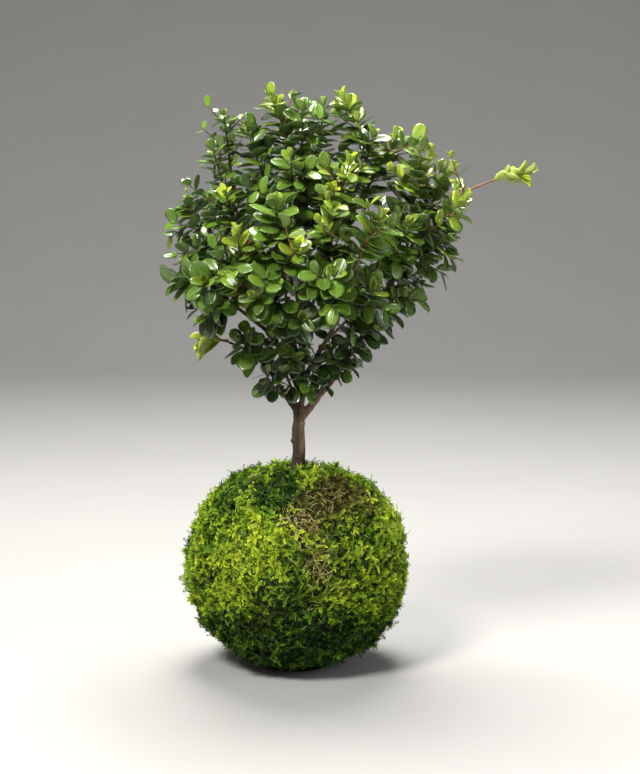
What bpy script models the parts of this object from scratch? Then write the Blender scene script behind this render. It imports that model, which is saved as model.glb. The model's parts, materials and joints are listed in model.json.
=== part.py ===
"""Kokedama: a small evergreen shrub growing out of a moss-covered soil ball, standing on a flat spot of the moss.
Metres, +Z up, the origin at the centre of the resting spot, -Y the side the plant is looked at from."""

import math
import random

import bmesh
import bpy
from mathutils import Vector
from mathutils.bvhtree import BVHTree

MM = 0.001
GAP = 0.3 * MM
UP = Vector((0, 0, 1))

# Ball: its surface is a squashed, lumpy round, cut flat where it rests.
BALL_CENTRE = Vector((0, 0, 60 * MM))
BALL_RADIUS = 65 * MM
BALL_RISE = 58 * MM
BALL_DROP = 66 * MM
BALL_SQUARENESS = 2.2
MOSS_THICKNESS = 9 * MM
COLUMNS = 32
ROWS = (0.15, 0.32, 0.48, 0.64, 0.86, 1.10, 1.34, 1.58, 1.82, 2.06, 2.30, 2.56, 2.80)
TOP_SEAM_ROW = 3
BASE_SEAM_ROW = 12
SEAM_HALF = 0.85 * MM
THREAD_RADIUS = 0.4 * MM
THREAD_DEPTH = 5.0 * MM
COLLAR_RADIUS = 6.4 * MM

# Moss sheets: name, first and last row, first and last column, colour.
SHEETS = (
    ("moss_top_dark", 0, 3, 7, 25, (0.045, 0.085, 0.012)),
    ("moss_dry_patch", 0, 3, 25, 39, (0.13, 0.085, 0.022)),
    ("moss_front_left", 3, 12, 16, 24, (0.24, 0.34, 0.020)),
    ("moss_front_right", 3, 12, 24, 32, (0.13, 0.22, 0.016)),
    ("moss_back_right", 3, 12, 0, 8, (0.09, 0.15, 0.015)),
    ("moss_back_left", 3, 12, 8, 16, (0.10, 0.17, 0.015)),
)

# Wood, in millimetres: name, radius at the start, radius at the end, the points the limb runs through.
LIMBS = {
    "trunk": (4.4, 1.0, ((0, 0, 58), (0, 0, 88), (1, 0, 112), (2, 0, 126), (1.4, 0, 146), (3, 1, 166), (4, 2, 192),
                         (3, 4, 222), (2, 3, 252), (0, 2, 284))),
    "right_limb": (2.5, 0.9, ((1.6, 0, 142), (8, -1, 150), (14, -1, 158), (24, -3, 171), (39, -4, 193), (53, -5, 219),
                              (65, -4, 241), (76, -2, 258))),
    "right_back_limb": (1.6, 0.8, ((24, -3, 171), (31, 13, 188), (42, 28, 212), (50, 38, 238))),
    "right_front_limb": (1.6, 0.8, ((3, 1, 164), (12, -14, 181), (24, -30, 204), (33, -42, 232))),
    "left_limb": (1.9, 0.8, ((2.6, 1, 160), (-5, -1, 176), (-13, -2, 192), (-23, -4, 220), (-31, -4, 252),
                             (-36, -2, 284))),
    "low_left_limb": (1.5, 0.8, ((1.4, 0, 147), (-6, -3, 158), (-14, -6, 171), (-26, -8, 183), (-38, -10, 189))),
    "left_back_limb": (1.5, 0.8, ((3.6, 2, 180), (-8, 12, 191), (-24, 25, 206), (-37, 35, 226), (-44, 40, 246))),
    "left_front_limb": (1.3, 0.8, ((-13, -2, 192), (-22, -16, 201), (-35, -26, 212), (-48, -30, 222))),
    "front_limb": (1.5, 0.8, ((3.3, 1, 173), (0, -14, 187), (-4, -30, 205), (-5, -42, 228))),
    "back_limb": (1.5, 0.8, ((4, 2, 186), (8, 16, 201), (13, 33, 221), (15, 44, 246))),
    "upper_right_limb": (1.4, 0.8, ((3.2, 3.6, 214), (16, 2, 238), (29, 1, 262), (39, 1, 286))),
}
ROOTS = (
    (4.4, 1.5, ((0, 0, 62), (1, -1, 48), (-1, 1, 32), (0, 0, 20))),
    (2.2, 0.9, ((0, 0, 78), (-16, -6, 66), (-30, -10, 50), (-38, -12, 36))),
    (2.2, 0.9, ((0, 0, 74), (15, -9, 62), (27, -17, 46), (34, -22, 34))),
    (2.0, 0.9, ((0, 0, 82), (10, 15, 70), (18, 29, 56), (20, 38, 42))),
    (1.8, 0.8, ((0, 0, 70), (-9, 12, 56), (-17, 24, 40), (-20, 30, 28))),
)

# Shoots: name, limb, share of the limb's length, tip in millimetres, pairs of leaves, leaf length, young or
# not, and the share of the stem that is bare.
SHOOTS = (
    ("top_far_left", "left_limb", 1.0, (-40, -3, 317), 5, 8, 0, 0.25),
    ("left_upright", "left_limb", 0.70, (-46, -16, 299), 7, 11, 0, 0.11),
    ("left_high", "left_front_limb", 0.75, (-60, -14, 268), 7, 11, 0, 0.20),
    ("left_end", "left_front_limb", 1.0, (-63, -24, 223), 6, 17, 0, 0.11),
    ("left_mid", "left_limb", 0.58, (-60, 2, 244), 7, 14, 0, 0.11),
    ("left_low_dark", "left_front_limb", 0.62, (-50, -34, 205), 6, 14, 0, 0.20),
    ("left_front_pale", "left_front_limb", 0.86, (-48, -50, 226), 6, 15, 0, 0.11),
    ("low_left_tuft", "low_left_limb", 1.0, (-49, -13, 189), 3, 8, 1, 0.40),
    ("low_left_side", "low_left_limb", 0.62, (-30, -20, 190), 5, 13, 0, 0.12),
    ("top_a", "trunk", 1.0, (-12, -2, 323), 8, 13, 1, 0.11),
    ("top_b", "trunk", 0.93, (4, -14, 320), 8, 13, 0, 0.11),
    ("top_c", "trunk", 0.90, (16, 14, 322), 8, 13, 0, 0.11),
    ("top_left", "trunk", 0.86, (-27, 2, 309), 8, 13, 0, 0.11),
    ("top_right", "upper_right_limb", 1.0, (28, -4, 324), 8, 13, 1, 0.11),
    ("slope_a", "upper_right_limb", 0.82, (44, -12, 304), 8, 13, 0, 0.11),
    ("slope_b", "upper_right_limb", 0.64, (56, 6, 302), 8, 14, 1, 0.11),
    ("slope_c", "right_limb", 0.86, (75, -8, 293), 8, 13, 1, 0.11),
    ("slope_d", "right_limb", 0.95, (88, 8, 283), 7, 13, 1, 0.11),
    ("long_right", "right_limb", 1.0, (130, -4, 284), 7, 9, 1, 0.50),
    ("right_end", "right_limb", 0.90, (94, -14, 268), 7, 13, 1, 0.11),
    ("right_low_a", "right_limb", 0.80, (86, -10, 248), 7, 13, 0, 0.11),
    ("right_low_b", "right_limb", 0.70, (74, 12, 230), 6, 13, 0, 0.11),
    ("right_low_c", "right_limb", 0.60, (60, -16, 216), 6, 13, 0, 0.11),
    ("right_fan", "right_limb", 0.45, (45, -10, 200), 5, 13, 0, 0.20),
    ("right_low_d", "right_limb", 0.22, (27, -6, 176), 4, 10, 0, 0.25),
    ("front_tuft_left", "left_front_limb", 0.50, (-31, -42, 250), 7, 13, 1, 0.11),
    ("front_shiny", "front_limb", 0.86, (-10, -48, 268), 7, 15, 0, 0.11),
    ("front_tuft", "front_limb", 1.0, (1, -58, 244), 6, 13, 1, 0.11),
    ("front_bud", "right_front_limb", 0.78, (18, -48, 271), 7, 13, 1, 0.11),
    ("front_low_left", "front_limb", 0.76, (-20, -54, 218), 6, 15, 0, 0.15),
    ("front_low", "front_limb", 0.60, (4, -50, 206), 6, 14, 0, 0.20),
    ("front_mid_right", "right_front_limb", 0.68, (22, -58, 230), 6, 14, 0, 0.11),
    ("front_right", "right_front_limb", 1.0, (46, -50, 259), 7, 13, 1, 0.11),
    ("front_right_low", "right_front_limb", 0.54, (44, -34, 220), 6, 14, 0, 0.15),
    ("front_high", "trunk", 0.78, (-2, -32, 293), 8, 13, 0, 0.11),
    ("front_high_right", "upper_right_limb", 0.44, (30, -32, 289), 8, 13, 1, 0.11),
    ("inner_low", "trunk", 0.50, (-12, -18, 192), 5, 13, 0, 0.08),
    ("inner_low_right", "right_limb", 0.34, (20, -18, 186), 5, 12, 0, 0.10),
    ("inner_low_left", "low_left_limb", 0.28, (-17, -9, 171), 4, 12, 0, 0.10),
    ("inner_low_front", "trunk", 0.44, (8, -17, 178), 4, 12, 0, 0.10),
    ("right_mid", "right_limb", 0.72, (62, -28, 256), 7, 13, 0, 0.11),
    ("back_left", "left_back_limb", 1.0, (-50, 46, 266), 7, 13, 0, 0.11),
    ("back_left_low", "left_back_limb", 0.72, (-48, 34, 228), 6, 14, 0, 0.11),
    ("back_left_mid", "left_back_limb", 0.82, (-28, 52, 250), 7, 14, 0, 0.11),
    ("back_mid", "back_limb", 1.0, (12, 58, 270), 7, 13, 1, 0.11),
    ("back_low", "back_limb", 0.66, (-6, 52, 226), 6, 14, 0, 0.11),
    ("back_right_low", "right_back_limb", 0.62, (36, 50, 220), 6, 14, 0, 0.11),
    ("back_right", "right_back_limb", 1.0, (60, 44, 262), 7, 13, 0, 0.11),
    ("back_high_left", "trunk", 0.74, (-20, 32, 293), 8, 13, 0, 0.11),
    ("back_high_right", "upper_right_limb", 0.40, (34, 34, 291), 8, 13, 0, 0.11),
)
SEED = 7
CROWN_MIDDLE = Vector((5, 14, 226)) * MM
STEM_RADIUS = (0.85 * MM, 0.45 * MM)
LEAF_HALF_THICKNESS = 0.33 * MM
LEAF_WIDTH = 0.70
LEAF_GROWTH = 1.02
LEAF_OUTLINE = ((0.0, 0.0), (0.28, 0.90), (0.78, 0.86), (1.0, 0.0), (0.78, -0.86), (0.28, -0.90))
LEAF_TRIES = 9


# ---------------------------------------------------------------- ball

def ball_point(polar, turn, inset=0.0):
    """A point of the ball's surface, or of the same surface set inwards, by its angle from +Z and about +Z."""
    side = math.sin(polar)
    rise = math.cos(polar)
    reach = BALL_RISE if rise > 0 else BALL_DROP
    power = BALL_SQUARENESS if rise > 0 else 2.0
    radius = ((side / BALL_RADIUS) ** power + (abs(rise) / reach) ** power) ** (-1 / power)
    lumps = 0.012 * math.sin(3 * turn + 0.6) * side
    lumps += 0.010 * math.sin(5 * turn + 2.0 * polar) * side ** 2
    lumps += 0.008 * math.sin(4 * polar + 2 * turn) * side
    radius = radius * (1 + lumps) - inset
    if rise < 0:
        radius = min(radius, (BALL_CENTRE.z - inset) / -rise)
    return BALL_CENTRE + radius * Vector((side * math.cos(turn), side * math.sin(turn), rise))


def grid_angles(row, column):
    """The two angles of a crossing of the moss sheets' grid, which wavers a little so that seams aren't straight."""
    polar = ROWS[row]
    turn = 2 * math.pi * column / COLUMNS
    sway = math.sin(polar) ** 2
    return (polar + 0.05 * sway * math.sin(3 * turn + polar), turn + 0.10 * sway * math.sin(4 * polar))


def mesh_object(name, mesh_data, colour, roughness, smooth=True):
    """A finished object from a bmesh, in its own plain material."""
    bmesh.ops.recalc_face_normals(mesh_data, faces=mesh_data.faces)
    mesh = bpy.data.meshes.new(name)
    mesh_data.to_mesh(mesh)
    mesh_data.free()
    for face in mesh.polygons:
        face.use_smooth = smooth
    material = bpy.data.materials.new(name)
    material.use_nodes = True
    shader = material.node_tree.nodes["Principled BSDF"]
    shader.inputs["Base Color"].default_value = (*colour, 1)
    shader.inputs["Roughness"].default_value = roughness
    shader.inputs["Metallic"].default_value = 0
    mesh.materials.append(material)
    made = bpy.data.objects.new(name, mesh)
    bpy.context.scene.collection.objects.link(made)
    return made


def hide_operand(made):
    made.hide_render = True
    made.display_type = "WIRE"


def boolean(target, operand, operation):
    hide_operand(operand)
    cut = target.modifiers.new(operation.lower(), "BOOLEAN")
    cut.operation = operation
    cut.solver = "EXACT"
    cut.object = operand


def moss_sheet(name, first_row, last_row, first_column, last_column, colour):
    """One sheet of moss: a block of the grid's cells, set back from its neighbours by half a seam on every side."""
    sheet = bmesh.new()
    layers = []
    for inset in (0.0, MOSS_THICKNESS):
        layer = []
        for row in range(first_row, last_row + 1):
            line = []
            for column in range(first_column, last_column + 1):
                polar, turn = grid_angles(row, column)
                around = BALL_RADIUS * math.sin(polar)
                if row == first_row and row > 0:
                    polar += SEAM_HALF / BALL_RISE
                if row == last_row:
                    polar -= SEAM_HALF / BALL_RISE
                set_back = min(SEAM_HALF / around, 0.30)
                if column == first_column:
                    turn += set_back
                if column == last_column:
                    turn -= set_back
                line.append(sheet.verts.new(ball_point(polar, turn, inset)))
            layer.append(line)
        layers.append(layer)
    outer, inner = layers
    rows = last_row - first_row
    columns = last_column - first_column
    for row in range(rows):
        for column in range(columns):
            for layer in layers:
                sheet.faces.new((layer[row][column], layer[row][column + 1], layer[row + 1][column + 1],
                                 layer[row + 1][column]))
    for column in range(columns):
        for row in (0, rows):
            sheet.faces.new((outer[row][column], outer[row][column + 1], inner[row][column + 1], inner[row][column]))
    for row in range(rows):
        for column in (0, columns):
            sheet.faces.new((outer[row][column], outer[row + 1][column], inner[row + 1][column], inner[row][column]))
    return mesh_object(name, sheet, colour, 0.9)


def moss_base(colour):
    """The pad of moss that the ball rests on, inside the lower ends of the four side sheets."""
    pad = bmesh.new()
    rings = []
    for inset in (0.0, MOSS_THICKNESS):
        ring = []
        for column in range(COLUMNS):
            polar, turn = grid_angles(BASE_SEAM_ROW, column)
            ring.append(pad.verts.new(ball_point(polar + SEAM_HALF / BALL_RISE, turn, inset)))
        rings.append(ring)
    outer, inner = rings
    for k in range(COLUMNS):
        pad.faces.new((outer[k], outer[(k + 1) % COLUMNS], inner[(k + 1) % COLUMNS], inner[k]))
    pad.faces.new(outer)
    pad.faces.new(inner)
    return mesh_object("moss_base", pad, colour, 0.9, False)


def tube_mesh(points, radii, sides, closed=False):
    """A round tube through the points. Its frame is carried along so that it doesn't twist."""
    tube = bmesh.new()
    count = len(points)
    rings = []
    side = None
    for i, point in enumerate(points):
        before = points[(i - 1) % count] if closed or i > 0 else point
        after = points[(i + 1) % count] if closed or i < count - 1 else point
        forward = (after - before).normalized()
        if side is None:
            side = forward.cross(UP if abs(forward.z) < 0.9 else Vector((1, 0, 0))).normalized()
        side = (side - forward * side.dot(forward)).normalized()
        other = forward.cross(side)
        ring = []
        for k in range(sides):
            angle = 2 * math.pi * k / sides
            ring.append(tube.verts.new(point + radii[i] * (side * math.cos(angle) + other * math.sin(angle))))
        rings.append(ring)
    spans = count if closed else count - 1
    for i in range(spans):
        first = rings[i]
        second = rings[(i + 1) % count]
        for k in range(sides):
            tube.faces.new((first[k], first[(k + 1) % sides], second[(k + 1) % sides], second[k]))
    if not closed:
        tube.faces.new(rings[0])
        tube.faces.new(rings[-1])
    return tube


def add_soil(colour):
    soil = bmesh.new()
    rings = []
    for row in range(1, BASE_SEAM_ROW + 1):
        ring = []
        for column in range(0, COLUMNS, 2):
            polar, turn = grid_angles(row, column)
            ring.append(soil.verts.new(ball_point(polar, turn, MOSS_THICKNESS + 2 * GAP)))
        rings.append(ring)
    for first, second in zip(rings, rings[1:]):
        for k in range(len(first)):
            after = (k + 1) % len(first)
            soil.faces.new((first[k], first[after], second[after], second[k]))
    soil.faces.new(rings[0])
    soil.faces.new(rings[-1])
    return mesh_object("soil_ball", soil, colour, 0.95)


def seam_point(row, column):
    polar, turn = grid_angles(row, column)
    return ball_point(polar, turn, THREAD_DEPTH)


def add_thread():
    """The tie: a loop under the top sheets, a loop round the base pad, one round the trunk, and lines in the seams."""
    colour = (0.05, 0.045, 0.02)
    collar = []
    for k in range(10):
        angle = 2 * math.pi * k / 10
        height = ball_point(ROWS[0], angle, THREAD_DEPTH).z
        collar.append(Vector((1.2 * MM + COLLAR_RADIUS * math.cos(angle), COLLAR_RADIUS * math.sin(angle), height)))
    lines = [[seam_point(row, column) for row in range(TOP_SEAM_ROW, BASE_SEAM_ROW + 1)] for column in (0, 8, 16, 24)]
    for column, knot in ((25, 8), (7, 2)):
        lines.append([collar[knot]] + [seam_point(row, column) for row in range(TOP_SEAM_ROW + 1)])
    loops = [collar]
    for row, columns in ((TOP_SEAM_ROW, range(COLUMNS)), (BASE_SEAM_ROW, range(0, COLUMNS, 2))):
        loops.append([seam_point(row, column) for column in columns])
    thread = mesh_object("binding_thread", tube_mesh(loops[1], [THREAD_RADIUS] * len(loops[1]), 3, True), colour, 0.6)
    pieces = [tube_mesh(loop, [THREAD_RADIUS] * len(loop), 3, True) for loop in (loops[0], loops[2])]
    for line in lines:
        start = line[0] + (line[0] - line[1]).normalized() * 0.3 * MM
        end = line[-1] + (line[-1] - line[-2]).normalized() * 0.3 * MM
        line = [start] + line[1:-1] + [end]
        pieces.append(tube_mesh(line, [THREAD_RADIUS * 0.9] * len(line), 4))
    for k, piece in enumerate(pieces):
        boolean(thread, mesh_object(f"thread_run_{k}", piece, colour, 0.6), "UNION")


# ---------------------------------------------------------------- wood

def on_curve(points, share):
    """A point of the smooth curve through the points, at a share from 0 to 1 of the way along it."""
    spans = len(points) - 1
    place = min(max(share, 0.0), 1.0) * spans
    i = min(int(place), spans - 1)
    t = place - i
    a = points[max(i - 1, 0)]
    b = points[i]
    c = points[i + 1]
    d = points[min(i + 2, spans)]
    return 0.5 * (2 * b + (c - a) * t + (2 * a - 5 * b + 4 * c - d) * t * t + (3 * b - a - 3 * c + d) * t ** 3)


def limb_points(limb):
    return [Vector(point) * MM for point in LIMBS[limb][2]]


def limb_radius(limb, share):
    """The trunk stays thick up to its fork and then thins; the limbs thin evenly."""
    start, end = LIMBS[limb][:2]
    if limb == "trunk":
        if share < 0.42:
            return (start - 0.8 * share / 0.42) * MM
        return (2.9 + (end - 2.9) * (share - 0.42) / 0.58) * MM
    return (start + (end - start) * share) * MM


def limb_tube(limb, steps, sides, extra=0.0):
    points = limb_points(limb)
    shares = [k / steps for k in range(steps + 1)]
    return tube_mesh([on_curve(points, s) for s in shares], [limb_radius(limb, s) + extra for s in shares], sides)


def root_tube(root, extra=0.0):
    start, end, points = root
    points = [Vector(point) * MM for point in points]
    shares = [k / 5 for k in range(6)]
    line = [on_curve(points, s) for s in shares]
    line[-1] = line[-1] + (line[-1] - line[-2]).normalized() * extra
    return tube_mesh(line, [(start + (end - start) * s) * MM + extra for s in shares], 6)


def add_wood(soil):
    bark = (0.16, 0.085, 0.045)
    wood = mesh_object("trunk_and_branches", limb_tube("trunk", 16, 8), bark, 0.85)
    for limb in LIMBS:
        if limb != "trunk":
            steps = 2 * (len(LIMBS[limb][2]) - 1)
            boolean(wood, mesh_object(f"{limb}_tube", limb_tube(limb, steps, 6), bark, 0.85), "UNION")
    for k, root in enumerate(ROOTS):
        boolean(wood, mesh_object(f"root_{k}", root_tube(root), bark, 0.85), "UNION")
        boolean(soil, mesh_object(f"root_hollow_{k}", root_tube(root, GAP), bark, 0.85), "DIFFERENCE")
    boolean(soil, mesh_object("trunk_hollow", limb_tube("trunk", 16, 8, GAP), bark, 0.85), "DIFFERENCE")


# ---------------------------------------------------------------- shoots and leaves

def bend(base, tip, along, lift):
    """Points of a shoot's stem: it leaves the limb along it and bends to its tip."""
    reach = (tip - base).length
    middle = base + (along * 0.5 + (tip - base).normalized() * 0.6 + UP * lift).normalized() * reach * 0.5
    steps = max(3, round(reach / (11 * MM)))
    line = []
    for k in range(steps + 1):
        t = k / steps
        line.append(base * (1 - t) ** 2 + middle * 2 * t * (1 - t) + tip * t * t)
    return line


def stem_radii(line):
    first, last = STEM_RADIUS
    return [first + (last - first) * k / (len(line) - 1) for k in range(len(line))]


def on_line(line, share):
    """A point of the stem as it is built, in straight spans."""
    place = share * (len(line) - 1)
    i = min(int(place), len(line) - 2)
    return line[i].lerp(line[i + 1], place - i)


def solid_tree(made):
    tree = BVHTree.FromBMesh(made)
    made.free()
    return tree


def leaf_points(leaf, extra=0.0):
    """The leaf's outline, then its middle above and below. Extra makes it bigger all round."""
    base, forward, normal, length = leaf
    side = normal.cross(forward)
    half = 0.5 * LEAF_WIDTH * length + extra
    points = []
    for u, v in LEAF_OUTLINE:
        fold = abs(v) * 0.07 * length - 0.06 * length * u * u
        points.append(base + forward * (u * (length + 2 * extra) - extra) + side * v * half + normal * fold)
    centre = base + forward * 0.5 * length
    thick = LEAF_HALF_THICKNESS + extra
    points.append(centre + normal * (thick + 0.02 * length))
    points.append(centre - normal * (thick - 0.02 * length))
    return points


def leaf_faces():
    count = len(LEAF_OUTLINE)
    faces = []
    for k in range(count):
        faces.append((k, (k + 1) % count, count))
        faces.append(((k + 1) % count, k, count + 1))
    return faces


def leaf_directions(place, forward, azimuth, spread, across, rng):
    """Which way a leaf points, and which way its upper side faces: up, out of the crown and along the stem."""
    outward = across * math.cos(azimuth) + forward.cross(across) * math.sin(azimuth)
    droop = 0.06 + 0.5 * min(max((245 * MM - place.z) / (60 * MM), 0.0), 1.0)
    points_to = (forward * math.cos(spread) + outward * math.sin(spread) - UP * droop).normalized()
    from_middle = (place - CROWN_MIDDLE).normalized()
    face = UP * 0.70 + from_middle * 0.75 + forward * 0.20
    face += Vector([rng.uniform(-0.42, 0.42) for _ in range(3)])
    face = face - points_to * face.dot(points_to)
    if face.length < 0.1:
        face = forward - points_to * forward.dot(points_to)
    return points_to, face.normalized()


def plan_stems(rng, wood):
    """The shoots' stems. One that would touch the wood or another stem is moved a little at its tip."""
    stems = []
    for name, limb, share, tip, pairs, leaf_mm, young, bare in SHOOTS:
        points = limb_points(limb)
        tip = Vector(tip) * MM
        root = on_curve(points, share)
        along = (on_curve(points, share) - on_curve(points, share - 0.04)).normalized()
        clear = False
        for attempt in range(40):
            way = tip - root
            way = along if share == 1.0 else (way - along * way.dot(along)).normalized()
            base = root + way * (limb_radius(limb, share) + GAP + STEM_RADIUS[0])
            line = bend(base, tip, along if share == 1.0 else (along + way * 0.8).normalized(), 0.10)
            radii = stem_radii(line)
            wide = [radii[0]] + [radius + 0.3 * MM for radius in radii[1:]]
            tree = solid_tree(tube_mesh(line, wide, 5))
            clear = not any(tree.overlap(other) for other in wood)
            clear = clear and not any(tree.overlap(stem["tree"]) for stem in stems)
            if clear:
                break
            tip = tip + Vector([rng.uniform(-1.5, 1.5) for _ in range(3)]) * MM
        stems.append({"name": name, "line": line, "radii": radii, "tree": tree, "pairs": pairs,
                      "length": leaf_mm * LEAF_GROWTH * MM, "young": young, "bare": bare, "leaves": [],
                      "clear": clear})
    return stems


def fitted_leaf(rng, stem, index, share, azimuth, small, across, solids, placed):
    """A leaf that touches nothing but its own stem, or None."""
    line = stem["line"]
    place = on_line(line, share)
    ahead = (on_line(line, min(share + 0.05, 1.0)) - on_line(line, share - 0.05)).normalized()
    for attempt in range(LEAF_TRIES):
        spread = math.radians(rng.uniform(36, 56) if share > 0.95 else rng.uniform(52, 78))
        twist = azimuth + rng.uniform(-0.3, 0.3) * (1 + attempt / 4)
        points_to, face = leaf_directions(place, ahead, twist, spread, across, rng)
        length = stem["length"] * small * rng.uniform(0.88, 1.12) * (1 - 0.04 * attempt)
        leaf = (place + points_to * 0.15 * MM, points_to, face, length)
        wide = BVHTree.FromPolygons(leaf_points(leaf, GAP), leaf_faces())
        if any(wide.overlap(solid) for solid in solids):
            continue
        exact = BVHTree.FromPolygons(leaf_points(leaf), leaf_faces())
        centre = place + points_to * 0.5 * length
        clear = True
        for other_centre, other_wide, other_exact, owner in placed:
            if (other_centre - centre).length < 26 * MM:
                if exact.overlap(other_exact) if owner == index else wide.overlap(other_wide):
                    clear = False
                    break
        if clear:
            placed.append((centre, wide, exact, index))
            return leaf
    return None


def plan_crown():
    """Every shoot's stem line and leaves, placed one after another so that nothing touches another shoot."""
    rng = random.Random(SEED)
    wood = [solid_tree(limb_tube(limb, 4 * len(LIMBS[limb][2]), 6, GAP)) for limb in LIMBS]
    stems = plan_stems(rng, wood)
    placed = []
    for index, stem in enumerate(stems):
        solids = wood + [other["tree"] for k, other in enumerate(stems) if k != index]
        forward = (stem["line"][-1] - stem["line"][0]).normalized()
        across = forward.cross(UP if abs(forward.z) < 0.9 else Vector((1, 0, 0))).normalized()
        turn = rng.uniform(0, math.pi)
        for pair in range(stem["pairs"]):
            share = 0.97 - (0.97 - stem["bare"]) * pair / stem["pairs"]
            small = 0.72 if pair == 0 else 1.0
            for half in (0, 1):
                leaf = fitted_leaf(rng, stem, index, share, turn + math.pi * half, small, across, solids, placed)
                if leaf:
                    stem["leaves"].append(leaf)
            turn += math.pi / 2
    return stems


def add_shoot(stem):
    dark = (0.035, 0.085, 0.018)
    bright = (0.20, 0.36, 0.03)
    colour = bright if stem["young"] else dark
    shoot = mesh_object(f"shoot_{stem['name']}", tube_mesh(stem["line"], stem["radii"], 5), colour, 0.4)
    leaves = bmesh.new()
    for leaf in stem["leaves"]:
        corners = [leaves.verts.new(point) for point in leaf_points(leaf)]
        for face in leaf_faces():
            leaves.faces.new([corners[k] for k in face])
    boolean(shoot, mesh_object(f"leaves_{stem['name']}", leaves, colour, 0.4, False), "UNION")


def main():
    for old in list(bpy.data.objects):
        bpy.data.objects.remove(old)
    soil = add_soil((0.035, 0.022, 0.012))
    for sheet in SHEETS:
        moss_sheet(*sheet)
    moss_base((0.05, 0.08, 0.012))
    add_thread()
    add_wood(soil)
    crown = plan_crown()
    for stem in crown:
        add_shoot(stem)
    print("leaves", sum(len(stem["leaves"]) for stem in crown),
          "wanted", sum(2 * stem["pairs"] for stem in crown),
          "not clear", [stem["name"] for stem in crown if not stem["clear"]])


main()
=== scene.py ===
"""A kokedama: a small-leaved evergreen shrub growing from a moss-covered soil ball. Metres, +Z up, origin at the
centre of the ball's flat resting spot, -Y towards the front. Laid out as a Blender add-on and run as a script."""

import json
import math
import random

import bmesh
import bpy
import numpy as np
from bpy.props import FloatProperty, FloatVectorProperty, IntProperty, PointerProperty
from mathutils import Matrix, Vector, noise
from mathutils.bvhtree import BVHTree

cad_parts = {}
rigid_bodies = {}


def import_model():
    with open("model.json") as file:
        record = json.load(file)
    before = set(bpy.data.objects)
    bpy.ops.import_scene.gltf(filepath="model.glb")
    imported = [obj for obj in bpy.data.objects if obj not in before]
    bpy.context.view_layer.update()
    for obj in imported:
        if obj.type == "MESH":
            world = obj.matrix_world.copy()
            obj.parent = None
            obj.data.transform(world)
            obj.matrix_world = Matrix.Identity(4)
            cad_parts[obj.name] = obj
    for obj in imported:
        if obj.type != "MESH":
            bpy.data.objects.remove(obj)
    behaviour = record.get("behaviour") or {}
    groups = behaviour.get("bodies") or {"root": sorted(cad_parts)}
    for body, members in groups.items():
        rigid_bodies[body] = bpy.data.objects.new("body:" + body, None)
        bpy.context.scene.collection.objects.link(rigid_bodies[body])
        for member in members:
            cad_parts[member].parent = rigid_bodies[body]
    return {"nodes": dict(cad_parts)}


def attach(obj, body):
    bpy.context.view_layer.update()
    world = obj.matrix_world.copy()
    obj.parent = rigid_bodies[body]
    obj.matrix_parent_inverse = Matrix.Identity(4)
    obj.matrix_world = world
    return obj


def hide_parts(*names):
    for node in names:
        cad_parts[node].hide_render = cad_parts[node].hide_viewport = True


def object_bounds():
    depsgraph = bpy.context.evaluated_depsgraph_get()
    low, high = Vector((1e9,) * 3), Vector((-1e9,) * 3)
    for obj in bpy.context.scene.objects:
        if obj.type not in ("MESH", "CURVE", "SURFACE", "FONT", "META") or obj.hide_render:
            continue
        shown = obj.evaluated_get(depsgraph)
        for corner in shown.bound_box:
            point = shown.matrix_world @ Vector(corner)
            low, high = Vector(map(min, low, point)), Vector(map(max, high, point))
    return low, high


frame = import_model()
CAD_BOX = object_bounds()

bl_info = {
    "name": "Kokedama moss ball plant",
    "version": (1, 0, 0),
    "blender": (4, 5, 0),
    "location": "3D View > Sidebar > Kokedama",
    "description": "Builds a moss ball with a small shrub growing out of it",
    "category": "Add Mesh",
}

MM = 0.001
GAP = 0.3 * MM
UP = Vector((0, 0, 1))

# ---------------------------------------------------------------- the ball's shape

BALL_CENTRE = Vector((0, 0, 60 * MM))
BALL_RADIUS = 65 * MM
BALL_RISE = 58 * MM
BALL_DROP = 66 * MM
BALL_SQUARENESS = 2.2
MOSS_THICKNESS = 9 * MM
COLUMNS = 32
ROWS = (0.15, 0.32, 0.48, 0.64, 0.86, 1.10, 1.34, 1.58, 1.82, 2.06, 2.30, 2.56, 2.80)

# Moss sheets: name, first and last row, first and last column, kind of moss.
SHEETS = (
    ("moss_top_dark", 0, 3, 7, 25, "dark"),
    ("moss_dry_patch", 0, 3, 25, 39, "dry"),
    ("moss_front_left", 3, 12, 16, 24, "bright"),
    ("moss_front_right", 3, 12, 24, 32, "green"),
    ("moss_back_right", 3, 12, 0, 8, "green"),
    ("moss_back_left", 3, 12, 8, 16, "bright"),
)

# ---------------------------------------------------------------- the plant's shape, in millimetres

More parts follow.
